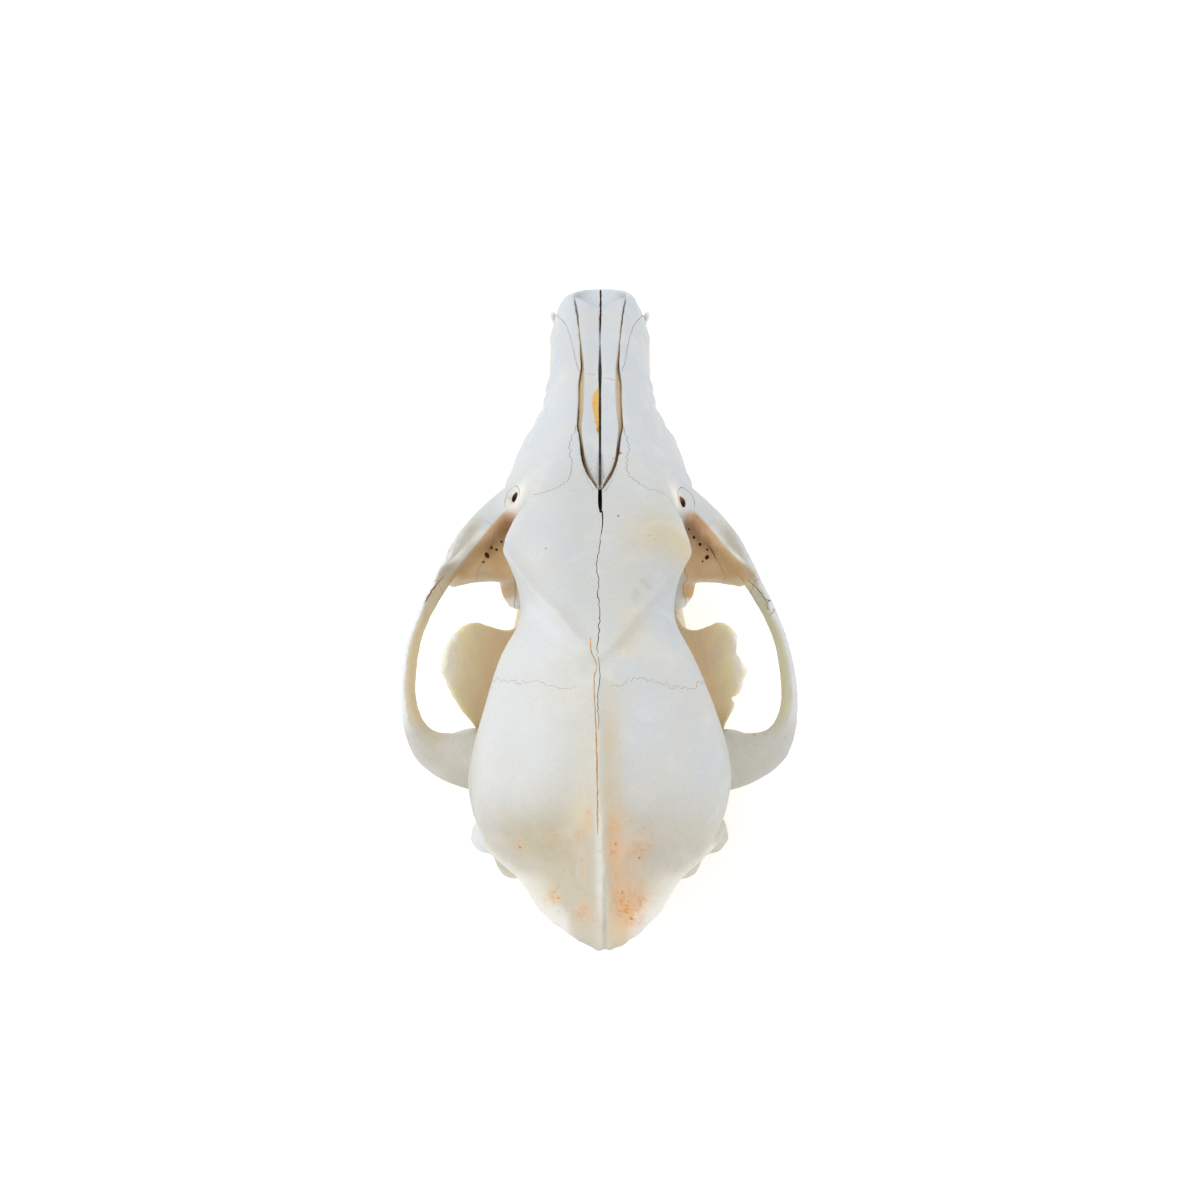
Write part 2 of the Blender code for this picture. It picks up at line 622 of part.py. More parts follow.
def crest_slopes():
    """The slopes that rise from the vault to the crests."""
    shelf = loft_along_y("nuchal_shelf", NUCHAL_SHELF, shelf_ring)
    rings = []
    at = stations(CREST)
    for y, (top, half, foot, foot_z) in zip(at, interpolate(CREST, at)):
        wide, fall = foot - half, top - foot_z
        section = [
            (0.0, top - 0.4), (half, top - 0.9), (half + wide * 0.14, top - fall * 0.34),
            (half + wide * 0.46, top - fall * 0.7), (foot, foot_z), (foot * 0.5, foot_z - 4),
        ]
        section += [(-x, z) for x, z in section[:0:-1]]
        rings.append(np.array([(x, y, z) for x, z in section]))
    return [shelf, loft("sagittal", rings)]


def into_vault(point):
    """The direction in which the nuchal crest runs in from its rim."""
    inward = np.array((-point[0], 162.0 - point[1], -4.0))
    return inward / np.linalg.norm(inward)


def rim_row(row):
    """The row moved in from the rim by most of its half-depth."""
    point = np.array(row[:3]) + into_vault(row[:3]) * (row[4] - 0.4)
    return (*point, *row[3:])


def crests():
    """The sharp edges of the sagittal and nuchal crests."""
    rows = [rim_row(row) for row in NUCHAL_RIM]
    rim = sweep("nuchal_rim", rows, lambda point, tangent, more: into_vault(point))
    rings = []
    at = stations(CREST)
    for y, (top, half, foot, foot_z) in zip(at, interpolate(CREST, at)):
        around = np.arange(10) * 2 * math.pi / 10
        middle = top - CREST_EDGE_DEPTH / 2
        x, z = half * np.cos(around), middle + CREST_EDGE_DEPTH / 2 * np.sin(around)
        rings.append(np.column_stack([x, np.full(10, y), z]))
    return mirrored([rim]) + [loft("sagittal_edge", rings)]


def palate_wings():
    """The thin walls beside the inner nostrils, each ending in a hook."""
    return mirrored([level_stack("wing", [
        (9.2, 120.4, 0.0, 1.2, 0.8), (9.2, 118.6, 3.0, 3.2, 1.0), (9.4, 112.5, 6.0, 9.5, 1.1),
        (9.4, 110.0, 10.0, 14.0, 1.3), (9.0, 110.0, 16.0, 16.0, 2.4)
    ])])


def round_cutters():
    """The orbits, the jaw sockets and the inner nostrils, whose edges are soft."""
    orbit = ellipsoid("orbit", (27.4, 106.0, 27.0), (12.4, 22.5, 12.8), (0.0, 0.0, -45.0))
    socket = sweep("glenoid", [(22.0, 147.4, 1.4, 3.9, 3.9), (46.0, 146.8, 1.4, 3.9, 3.9)],
                   lambda point, tangent, more: (0.0, 0.0, 1.0))
    choana = loft_along_y("choana", [
        (98.0, 6.6, 11.0, -4.0), (110.0, 7.2, 12.5, -4.0), (128.0, 7.0, 12.5, -4.0)
    ], lambda y, v: box_ring(y, v[0], v[1], v[2], 3.0))
    return mirrored([orbit, socket]) + [choana]


def sharp_cutters():
    """The nose, the foramen magnum, the ears and the infraorbital canals."""
    nose = loft_along_y("nose", [
        (-3.0, 6.4, 24.0, 5.0), (4.0, 7.3, 24.0, 5.2), (12.0, 7.8, 21.4, 5.8), (22.0, 7.2, 20.4, 6.8),
        (34.0, 6.2, 21.6, 8.0), (46.0, 5.0, 22.4, 10.0)
    ], lambda y, v: box_ring(y, v[0], v[1], v[2], 2.3))
    notch = loft("notch", [
        np.array([(8.0, -4.0, z), (8.0, 15.0, z), (0.0, NASAL_NOTCH, z), (-8.0, 15.0, z), (-8.0, -4.0, z)])
        for z in (17.0, 30.0)
    ])
    magnum = loft_along_y("magnum", [
        (168.0, 7.6, 27.0, 18.0), (182.0, 8.8, 29.4, 16.0), (200.0, 10.2, 31.0, 14.0)
    ], lambda y, v: box_ring(y, v[0], v[1], v[2], 2.2))
    ear = ellipsoid("ear_hole", (30.0, 161.8, 18.6), (5.4, 2.7, 2.9))
    canal = ellipsoid("canal", (18.0, 66.5, 11.6), (1.7, 7.6, 3.1), (0.0, 0.0, -10.0))
    return [nose, notch, magnum] + mirrored([ear, canal])


def upper_skull():
    base = fused("skull", [*face(), *braincase(), *occiput(), *crest_slopes()], SOFT_VOXEL, 10)
    boolean(base, round_cutters(), "DIFFERENCE")
    body = fused("skull", [base, *crests(), *palate_wings()], VOXEL, 3)
    return reduced(boolean(body, sharp_cutters(), "DIFFERENCE"), SKULL_TRIANGLES)


# Seams
def nasal_bar(name, side_inner, grow, below):
    """A bar over the nasal bones. Its inner side is at side_inner and the others are grown by `grow`."""
    rings = []
    at = stations(NASALS)
    for y, (half_width, top) in zip(at, interpolate(NASALS, at)):
        outer, low = max(half_width + grow, side_inner + 0.12), top - NASAL_DEPTH - below
        section = [(side_inner, low), (outer, low), (outer, top + 6), (side_inner, top + 6)]
        rings.append(np.array([(x, y, z) for x, z in section]))
    if grow > 0:
        rings.append(rings[-1] + np.array((0.0, 0.5, 0.0)))
    return loft(name, rings)


def seam_sheet(name, line, levels, slope=0.0):
    """A thin upright sheet along a line seen from above, leaning back below by `slope`."""
    line = np.array(line, float)
    along = np.gradient(line, axis=0)
    along /= np.linalg.norm(along, axis=1)[:, None]
    across = np.column_stack([-along[:, 1], along[:, 0]]) * SUTURE_GAP / 2
    outline = np.concatenate([line + across, (line - across)[::-1]])
    rings = []
    for z in levels:
        lean = (FACE_SEAM_LEVEL - z) * slope
        rings.append(np.column_stack([outline[:, 0], outline[:, 1] + lean, np.full(len(outline), z)]))
    return loft(name, rings)


def box(name, low, high):
    """An upright box from one corner to the opposite one."""
    bm = bmesh.new()
    bmesh.ops.create_cube(bm, size=1.0)
    low, high = Vector(low), Vector(high)
    place = Matrix.Translation((low + high) / 2) @ Matrix.Diagonal((*(high - low), 1.0))
    bmesh.ops.transform(bm, matrix=place, verts=bm.verts)
    mesh = bpy.data.meshes.new(name)
    bm.to_mesh(mesh)
    bm.free()
    return link(name, mesh)


def jugal_sheet():
    """The long oblique seam between the cheekbone and the temporal bone's part of the arch."""
    line = np.array(ARCH_SEAM)
    along = np.gradient(line, axis=0)
    along /= np.linalg.norm(along, axis=1)[:, None]
    across = np.column_stack([-along[:, 1], along[:, 0]]) * SUTURE_GAP / 2
    outline = np.concatenate([line + across, (line - across)[::-1]])
    inner = 36.0 + (outline[:, 0] - 101.0) * 0.2
    return loft("jugal_sheet", [
        np.column_stack([inner, outline]), np.column_stack([np.full(len(outline), 60.0), outline])
    ])


def loose_parts(obj):
    """Each closed surface of the object as its own object, the largest first. Chips are dropped."""
    bm = bmesh.new()
    bm.from_mesh(obj.data)
    bm.verts.ensure_lookup_table()
    label = [-1] * len(bm.verts)
    count = 0
    for start in bm.verts:
        if label[start.index] >= 0:
            continue
        label[start.index], front = count, [start]
        while front:
            for edge in front.pop().link_edges:
                for vert in edge.verts:
                    if label[vert.index] < 0:
                        label[vert.index] = count
                        front.append(vert)
        count += 1
    parts = []
    for group in range(count):
        copy = bm.copy()
        copy.verts.ensure_lookup_table()
        bmesh.ops.delete(copy, geom=[v for v in copy.verts if label[v.index] != group], context="VERTS")
        mesh = bpy.data.meshes.new(obj.name)
        copy.to_mesh(mesh)
        parts.append((copy.calc_volume(), mesh))
        copy.free()
    bm.free()
    bpy.data.objects.remove(obj)
    parts.sort(key=lambda part: -part[0])
    return [link("part", mesh) for volume, mesh in parts if volume > 20.0]


def centre_of(obj):
    points = np.array([tuple(v.co) for v in obj.data.vertices])
    return (points.min(axis=0) + points.max(axis=0)) / 2


def largest(obj, name):
    """The object's largest closed surface, under a new name."""
    parts = loose_parts(obj)
    for part in parts[1:]:
        bpy.data.objects.remove(part)
    parts[0].name = name
    return parts[0]


def divided(skull):
    """The skull as its named bones, with a thin gap along each seam."""
    half = SUTURE_GAP / 2
    names = {}
    for side, sign in (("left", 1.0), ("right", -1.0)):
        bar = nasal_bar("bar", half, -half, 0.0)
        if sign < 0:
            bar.data.transform(Matrix.Diagonal((-1.0, 1.0, 1.0, 1.0)))
            bar.data.flip_normals()
        names[f"nasal_{side}"] = largest(boolean(copied(skull, "nasal"), [bar], "INTERSECT"), f"nasal_{side}")
    pocket = nasal_bar("pocket", -0.1, half, SUTURE_GAP)
    boolean(skull, mirrored([pocket]), "DIFFERENCE")
    line = [(-x, y) for x, y in FACE_SEAM[:0:-1]] + FACE_SEAM
    sheets = [seam_sheet("face_sheet", line, (-6.0, 60.0), FACE_SEAM_LEAN)]
    sheets += mirrored([seam_sheet("cheek_sheet", CHEEK_SEAM, (0.0, 34.0)), jugal_sheet()])
    boolean(skull, sheets, "DIFFERENCE")
    for part in loose_parts(skull):
        x, y, z = centre_of(part)
        if abs(x) > 30:
            name = "zygomatic_left" if x > 0 else "zygomatic_right"
        else:
            name = "rostrum" if y < 80 else "braincase"
        if name in names:
            bpy.data.objects.remove(part)
        else:
            part.name = name
            names[name] = part
    return names


# Teeth
def cusp(name, x, y, turn, root, rim, shape):
    """A tapering cusp with its root, from inside the bone out to its tip."""
    forward, sideways, tip, half_length, half_width = shape
    angle = math.radians(turn)
    tall = abs(tip - rim) > 12.0
    crown = ((0.0, 0.96), (0.3, 1.0), (0.6, 0.78), (0.84, 0.48), (1.0, 0.12)) if tall else (
        (0.0, 0.94), (0.35, 1.0), (0.75, 0.6), (1.0, 0.14))
    levels = [(0.0, root, 0.7)] + [(share, rim + (tip - rim) * share, swell) for share, swell in crown]
    rings = []
    for share, z, swell in levels:
        lean = share**1.5 if tall else 1.0
        along, across = -forward * lean, sideways * lean
        cx = x + across * math.cos(angle) + along * math.sin(angle)
        cy = y + along * math.cos(angle) - across * math.sin(angle)
        rings.append((cx, cy, z, half_length * swell, half_width * swell))
    return level_stack(name, rings, turn, 8 if tall else 6)


def tooth(row):
    name, x, y, turn, root, rim, cusps = row
    return [cusp(f"{name}_{i}", x, y, turn, root, rim, shape) for i, shape in enumerate(cusps)]


# Lower jaw
def jaw_side():
    """The left half of the lower jaw, without its teeth."""
    rows = [(x, y, (low + high) / 2, half, (high - low) / 2) for x, y, half, low, high in JAW_BODY]
    body = sweep("body", rows, lambda point, tangent, more: (0.0, 0.0, 1.0), sides=20)
    rings = []
    around = np.arange(28) * 2 * math.pi / 28
    heights = stations(RAMUS)
    for z, (front, back, x_front, x_back, half) in zip(heights, interpolate(RAMUS, heights)):
        share = (1 - np.cos(around)) / 2
        y = front + (back - front) * share
        bulge = np.sign(np.sin(around)) * np.abs(np.sin(around)) ** 0.6
        x = x_front + (x_back - x_front) * share + half * bulge
        rings.append(np.column_stack([x, y, np.full(28, z)]))
    ramus = loft("ramus", rings)
    condyle = ellipsoid("condyle", (33.4, 147.2, 1.0), (9.2, 3.5, 3.5), (0.0, 0.0, 3.0))
    neck = sweep("neck", [
        (33.0, 146.6, 0.5, 4.6, 3.2), (32.0, 144.8, -6.0, 3.0, 3.4), (30.8, 142.4, -14.0, 2.4, 3.2)
    ], lambda point, tangent, more: (0.0, 1.0, 0.0))
    angle = sweep("angle", [
        (27.8, 132.0, -19.6, 3.0, 6.4), (29.2, 140.0, -20.4, 2.8, 4.6), (30.0, 146.6, -21.2, 2.4, 3.2),
        (30.4, 151.6, -20.6, 1.6, 2.2), (30.6, 154.0, -19.4, 1.0, 1.2)
    ], lambda point, tangent, more: (0.0, 0.0, 1.0))
    bone = fused("jaw", [body, ramus, neck, angle], VOXEL, 5)
    hollow = ellipsoid("masseter", (37.4, 125.5, -1.0), (5.4, 15.0, 15.0), (0.0, 22.0, -8.0))
    bone = fused("jaw", [boolean(bone, [hollow], "DIFFERENCE"), condyle], VOXEL, 3)
    other_side = box("other_side", (-30.0, -20.0, -60.0), (JAW_HALF_GAP, 100.0, 10.0))
    boolean(bone, [other_side], "DIFFERENCE")
    return reduced(largest(bone, "jaw"), JAW_TRIANGLES)


def leaned(obj):
    """The jaw with its coronoid process bent towards the skull's left."""
    for vertex in obj.data.vertices:
        vertex.co.x += CORONOID_LEAN * max(0.0, (vertex.co.z - 8.0) / 22.0)
    return obj


def bent(obj):
    """The bone with the skull's slight bend."""
    points = np.array([tuple(vertex.co) for vertex in obj.data.vertices])
    middle, sides = interpolate(BEND, np.clip(points[:, 1], BEND[0][0], BEND[-1][0])).T
    share = np.clip((np.abs(points[:, 0]) - 10.0) / 20.0, 0.0, 1.0)
    for vertex, shift in zip(obj.data.vertices, middle + (sides - middle) * share):
        vertex.co.x += shift
    return obj


# Surface
def bone_material(name):
    material = bpy.data.materials.new(name + "_bone")
    material.use_nodes = True
    shader = material.node_tree.nodes["Principled BSDF"]
    shader.inputs["Base Color"].default_value = BONE
    shader.inputs["Roughness"].default_value = BONE_ROUGHNESS
    return material


# Resting pose
def at_rest():
    """From the anatomical frame to metres, with the jaw on the floor and the box centred on the origin."""
    turn = Matrix.Rotation(-REST_PITCH, 4, "X")
    return Matrix.Diagonal((UNIT, UNIT, UNIT, 1.0)) @ Matrix.Translation((0.0, -BOX_MIDDLE, -FLOOR_LEVEL)) @ turn


def main():
    for obj in list(bpy.data.objects):
        bpy.data.objects.remove(obj)
    skull = upper_skull()
    teeth = [piece for row in UPPER_TEETH for piece in tooth(row)]
    boolean(skull, mirrored(teeth), "UNION")
    nodes = divided(skull)
    jaw = jaw_side()
    boolean(jaw, [piece for row in LOWER_TEETH for piece in tooth(row)], "UNION")
    nodes["mandible_left"], nodes["mandible_right"] = mirrored([largest(jaw, "mandible_left")])
    rest = at_rest()
    for side in ("left", "right"):
        leaned(nodes[f"mandible_{side}"]).data.transform(rest)
        under = box("under_floor", (-0.1, -0.2, -0.1), (0.1, 0.2, 0.0))
        boolean(nodes[f"mandible_{side}"], [under], "DIFFERENCE")
    collection = bpy.data.collections.new("coyote_skull")
    bpy.context.scene.collection.children.link(collection)
    for name, obj in nodes.items():
        obj.name = name
        obj.data.name = name
        obj.data.materials.clear()
        obj.data.materials.append(bone_material(name))
        obj.data.shade_smooth()
        obj.data.set_sharp_from_angle(angle=SHARP_ANGLE)
        if not name.startswith("mandible"):
            bent(obj).data.transform(rest)
        collection.objects.link(obj)
        bpy.context.scene.collection.objects.unlink(obj)


main()
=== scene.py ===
# Coyote skull: the looks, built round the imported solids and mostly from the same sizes.
#
# Frame of every table below, in millimetres of a 198 mm skull:
#   x  sideways from the midline, left side of the picture positive
#   y  back from the front of the upper jaw
#   z  up from the plane of the upper tooth sockets
# The last step turns that frame into Blender's metres, with the jaw on the floor.

import json
import math

import bmesh
import bpy
import numpy as np
from mathutils import Matrix, Vector
from mathutils.bvhtree import BVHTree

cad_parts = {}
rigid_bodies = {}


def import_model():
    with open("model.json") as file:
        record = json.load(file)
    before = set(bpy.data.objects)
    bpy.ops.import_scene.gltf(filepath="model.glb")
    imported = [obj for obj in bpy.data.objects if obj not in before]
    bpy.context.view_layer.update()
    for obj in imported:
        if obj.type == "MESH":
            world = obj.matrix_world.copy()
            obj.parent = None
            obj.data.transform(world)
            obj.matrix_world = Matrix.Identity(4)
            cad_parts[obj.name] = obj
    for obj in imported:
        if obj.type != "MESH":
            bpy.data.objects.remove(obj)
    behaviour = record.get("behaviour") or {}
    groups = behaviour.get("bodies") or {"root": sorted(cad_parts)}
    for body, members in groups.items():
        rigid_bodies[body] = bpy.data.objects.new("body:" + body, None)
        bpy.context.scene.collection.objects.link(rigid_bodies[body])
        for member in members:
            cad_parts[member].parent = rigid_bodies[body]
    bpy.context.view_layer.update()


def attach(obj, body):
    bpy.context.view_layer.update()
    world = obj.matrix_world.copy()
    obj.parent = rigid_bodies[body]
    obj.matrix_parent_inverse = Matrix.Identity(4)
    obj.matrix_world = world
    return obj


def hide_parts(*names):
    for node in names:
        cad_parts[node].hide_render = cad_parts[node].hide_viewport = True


# Size and place, as in the solids
SKULL_LENGTH = 0.198
TABLE_LENGTH = 198.0
UNIT = SKULL_LENGTH / TABLE_LENGTH
REST_PITCH = math.radians(7.0)
FLOOR_LEVEL = -41.75
BOX_MIDDLE = 101.7
MILLIMETRE = 0.001

# Fineness of the meshes: voxels and steps in millimetres, then points round a ring or up a cusp
SOFT_VOXEL = 0.8
VOXEL = 0.5
FINE_VOXEL = 0.45
NASAL_VOXEL = 0.25
TOOTH_VOXEL = 0.24
LOFT_STEP = 2.0
SCROLL_STEP = 1.5
CRACK_STEP = 0.7
NASAL_STEP = 0.5
TRENCH_STEP = 0.3
RING_SIDES = 48
SWEEP_SIDES = 16
JAW_SIDES = 20
RAMUS_SIDES = 28
CUSP_SIDES = 20
CUSP_LEVELS = 13
CREST_EDGE_SIDES = 10
SCROLL_POINTS = 26

# Segments and levels of a ball and of a small hole
BALL = (32, 18)
PIT = (14, 8)

# A loose shell with fewer points or cubic millimetres than these is a chip
SMALLEST_SHELL = 400
SMALLEST_VOLUME = 20.0

# Edges sharper than this are shaded as edges
SHARP_ANGLE = math.radians(50.0)

# How much light spreads inside the thin bone of the jaw
JAW_GLOW = 0.35

# Half the gap between the two halves of the lower jaw
JAW_HALF_GAP = 0.1

# How much nearer the middle the paroccipital processes stand than in the solids
PROCESS_DRAWN_IN = 1.3

# Slots of a bone's materials
BONE, DARK, FAINT, RUST, BROWN = range(5)

# Display colours of the bone, the teeth and the seams, 0 to 255
MUZZLE = (201, 206, 211)
FRONTAL = (195, 198, 197)
VAULT_TONE = (208, 209, 205)
TEMPORAL = (200, 202, 202)
LOW_SIDE = (198, 189, 168)
CREAM = (222, 208, 176)
REAR = (193, 187, 170)
ORBIT_TAN = (208, 170, 118)
ARCH_TAN = (218, 205, 176)
# Painted shade: the inner strip's tan, greyer and darker for the right arch, away from the light
ARCH_SHADED_TAN = (200, 200, 178)
# Painted light and shade: the rough white outer rim of the arches, a lit copy for the left side and a darker
# shaded copy for the right
OUTER_LIT = (236, 240, 246)
OUTER_SHADED = (212, 212, 218)
# Partly the rough pale top rim of each coronoid process, partly a painted highlight where it catches the
# light
CORONOID_RIM_HIGHLIGHT = (236, 234, 226)
BRIGHT = (238, 238, 232)
ROOT_TONE = (186, 184, 174)
UNDER = (200, 191, 170)
JAW_TONE = (224, 211, 182)
# Painted light: a cream far brighter than the bone's own, so that the coronoid processes in the shade of the
# vault look lit
CORONOID = (255, 240, 200)
JUGAL = (172, 167, 153)
PEACH = (226, 182, 134)
YELLOWED = (194, 180, 146)
CREST_CREAM = (208, 193, 162)
# Painted shade: grey for the inner side of the temporal ridges and the inner edge of the left nasal bone
GREY_SHADE = (176, 180, 182)
COOL = (190, 197, 205)
AMBER = (216, 168, 80)
AMBER_DEEP = (176, 118, 50)
GAP_TAN = (196, 176, 140)
GAP_BROWN = (128, 86, 50)
ORANGE = (206, 138, 66)
# Brown of the orbit corners, partly painted shade
ORBIT_DEEP = (152, 94, 44)
LIP_TONE = (222, 204, 170)
RIM_WHITE = (246, 245, 238)
# Painted shade: the dark of the gap between the nasal bones
SLIT_SHADE = (58, 42, 34)
DUST = (146, 150, 150)
CREST_GREY = (168, 168, 164)
WING_TONE = (218, 223, 224)
# Painted light: the pale bluish white of surfaces lit from the left
LIT_LEFT_WHITE = (226, 232, 240)
# Partly warmer bone, partly painted shade low on the coronoid processes, in the recess beside the braincase
CORONOID_DEEP = (254, 226, 182)
# Painted bluish shading of the floor inside the nose opening
NOSE_BLUE_SHADE = (214, 224, 232)
SIDE_TONE = (212, 207, 194)
# Painted shade of the funnels round the lacrimal openings
REDDISH_FUNNEL_SHADE = (150, 96, 70)
ENAMEL = (235, 234, 228)
TOOTH_NECK = (226, 221, 208)
SPECK = (150, 118, 78)
STAIN_LIGHT = (170, 128, 78)
STAIN_DARK = (74, 46, 26)

# Walls of the seams in the order of their slots, each row: name, light tone, dark tone. The first look, for
# the dark slot, is partly dirt in the cracks and partly painted shade deep in the cracks and holes.
SEAM_LOOKS = [
    ("seam_dirt_and_shade", (120, 82, 50), (52, 32, 20)),
    ("seam_faint", (200, 190, 170), (164, 148, 122)),
    ("seam_rust", (222, 184, 130), (188, 140, 88)),
    ("seam_brown", (168, 132, 94), (112, 76, 48)),
]
# Faint clouds all over the bone, each row:
# size in metres, detail, distortion, noise where a cloud starts and is full, strength, tone
BONE_CLOUDS = [
    (0.011, 3.0, 0.4, 0.36, 0.66, 0.16, CREAM),
    (0.014, 3.0, 0.6, 0.5, 0.7, 0.14, COOL),
    (0.008, 4.0, 0.5, 0.5, 0.74, 0.14, BRIGHT),
]

# Soft patches of another tone, each row: x, y, z, width, colour, strength
PATCHES = [
    (-4.0, 172.0, 53.0, 3.0, PEACH, 0.75), (-4.6, 177.5, 51.8, 4.2, PEACH, 0.95),
    (-6.6, 182.5, 49.6, 4.4, PEACH, 0.8), (-5.4, 188.0, 50.4, 4.0, PEACH, 0.95),
    (-4.6, 193.0, 52.0, 3.4, PEACH, 0.8), (5.0, 170.5, 53.5, 3.6, CREAM, 0.8),
    (8.5, 175.5, 49.0, 5.0, YELLOWED, 0.7), (14.5, 174.5, 45.0, 5.0, YELLOWED, 0.55),
    (8.0, 182.0, 47.0, 5.0, YELLOWED, 0.5), (3.4, 190.5, 52.0, 3.2, PEACH, 0.35),
    (10.0, 187.4, 46.6, 3.0, CREAM, 0.6), (19.0, 172.0, 41.5, 4.4, YELLOWED, 0.35),
    (-14.5, 99.0, 46.6, 7.0, YELLOWED, 0.55), (-18.0, 103.5, 45.6, 6.0, YELLOWED, 0.7),
    (-20.5, 107.0, 45.0, 4.6, CREST_CREAM, 0.8),
    (-12.6, 106.5, 49.6, 5.4, YELLOWED, 0.45), (-6.0, 104.0, 49.0, 7.0, YELLOWED, 0.22),
    (-6.4, 113.0, 51.8, 5.0, YELLOWED, 0.28), (-4.6, 121.0, 53.6, 4.6, YELLOWED, 0.14),
    (-7.6, 178.0, 49.0, 4.6, PEACH, 0.6), (-8.6, 186.0, 48.4, 4.2, PEACH, 0.6),
    (3.6, 173.0, 54.6, 2.0, PEACH, 0.5), (4.0, 178.0, 53.4, 2.0, PEACH, 0.5),
    (3.8, 183.0, 52.6, 2.0, PEACH, 0.45), (24.5, 107.0, 6.5, 3.4, BRIGHT, 0.9),
    (-24.5, 107.0, 6.5, 3.4, BRIGHT, 0.9), (-8.0, 127.5, 54.2, 4.0, CREST_CREAM, 0.6),
    (-5.6, 133.0, 55.6, 3.4, CREST_CREAM, 0.6), (-10.1, 116.4, 51.0, 1.0, DUST, 0.6),
    (-11.4, 117.6, 50.8, 0.9, DUST, 0.45), (-8.3, 119.4, 52.2, 1.0, DUST, 0.4),
    (-8.1, 121.2, 52.8, 0.9, DUST, 0.3), (14.0, 101.0, 47.6, 6.0, COOL, 0.5),
    (10.0, 112.0, 51.0, 6.0, COOL, 0.45), (20.0, 118.0, 44.0, 6.0, COOL, 0.5),
    (-15.0, 146.0, 54.0, 9.0, COOL, 0.35), (-17.0, 124.0, 47.0, 5.0, COOL, 0.6),
    (12.0, 30.0, 20.0, 9.0, COOL, 0.45),
]
# Rust stains, each row: x, y, z, width, strength
STAINS = [
    (-3.6, 173.2, 53.5, 1.8, 1.0), (-3.6, 178.3, 52.5, 2.0, 1.0), (-4.2, 183.0, 51.5, 1.8, 0.6),
    (-9.7, 178.2, 46.8, 2.4, 0.8), (-8.8, 182.5, 47.0, 2.0, 0.5), (-5.0, 188.6, 50.4, 2.4, 1.0),
    (-6.9, 191.4, 50.6, 2.0, 1.0), (-8.4, 187.2, 48.0, 2.0, 0.8), (2.8, 171.2, 55.4, 1.8, 0.6),
    (5.4, 174.4, 52.0, 2.0, 0.5), (10.2, 187.2, 46.6, 1.7, 0.8), (18.0, 176.2, 42.0, 1.5, 0.5),
    (11.0, 175.6, 47.4, 2.0, 0.4), (3.8, 190.2, 51.8, 1.8, 0.5), (8.0, 180.0, 48.0, 1.6, 0.4),
]
# Brown stains of the orbits and the right flank, each row: x, y, z, width, strength
BROWN_STAINS = [
    (-26.5, 91.5, 18.5, 2.0, 0.30), (29.0, 94.5, 18.5, 2.0, 0.30), (-29.8, 95.6, 18.0, 2.6, 0.30),
    (24.6, 80.9, 21.0, 1.1, 0.35), (-23.4, 82.0, 22.6, 1.1, 0.35), (26.6, 88.6, 19.0, 2.0, 0.35),
    (-25.6, 88.4, 19.0, 2.0, 0.45), (30.6, 96.6, 17.4, 1.6, 0.35), (-32.0, 151.0, 24.0, 2.0, 0.12),
]
# Painted light on the inner slopes of the cheekbones behind the orbits, which face away from the light, each
# row: x, y, z, width
CHEEK_SLOPE_LIGHTS = [
    (38.0, 98.5, 22.0, 4.4), (-37.0, 98.5, 22.0, 4.4), (33.0, 93.0, 23.0, 3.4), (-32.0, 93.0, 23.0, 3.4)
]
# Dark corners of the orbits, partly brown bone and partly painted shade, each row: x, y, z, width, strength
ORBIT_CORNERS = [
    (24.6, 89.0, 20.0, 5.0, 1.0), (-25.0, 89.0, 20.0, 5.0, 1.0), (29.0, 94.5, 18.5, 4.4, 0.4),
    (-28.5, 94.5, 18.5, 4.4, 0.45),
]
# Lacrimal bones, and the painted shade in the funnels round their openings, each row: x, y, z, width,
# strength
LACRIMAL_BONES = [(22.6, 82.6, 24.6, 4.2, 1.0), (-21.6, 83.6, 26.2, 4.2, 1.0)]
LACRIMAL_FUNNEL_SHADES = [(23.3, 81.9, 23.0, 1.5, 1.0), (-22.5, 82.9, 24.6, 1.5, 1.0)]
# Amber film on the left nasal bone, each row: y, x of its outer edge
AMBER_EDGE = [
    (50.8, 0.5), (52.6, 1.7), (55.0, 2.15), (58.0, 2.05), (61.0, 1.6), (64.0, 1.05), (67.4, 0.4),
]

# Camera, floor and lights
CAMERA_PLACE = (0.0, 0.12514, 0.28846)
CAMERA_TURN = (25.554, 0.0, 180.0)
SENSOR_WIDTH = 36.0
FOCAL_LENGTH = 30.0
FLOOR_SIZE = 6.0
FLOOR_TONE = (0.95, 0.95, 0.95)
FLOOR_GLOW = 0.28
SKY_STRENGTH = 0.82
# Each light: name, place, size, power
LIGHTS = [
    ("key", (0.55, -0.35, 1.10), 1.4, 5.6),
    ("fill", (-0.80, 0.30, 0.90), 1.0, 1.5),
]

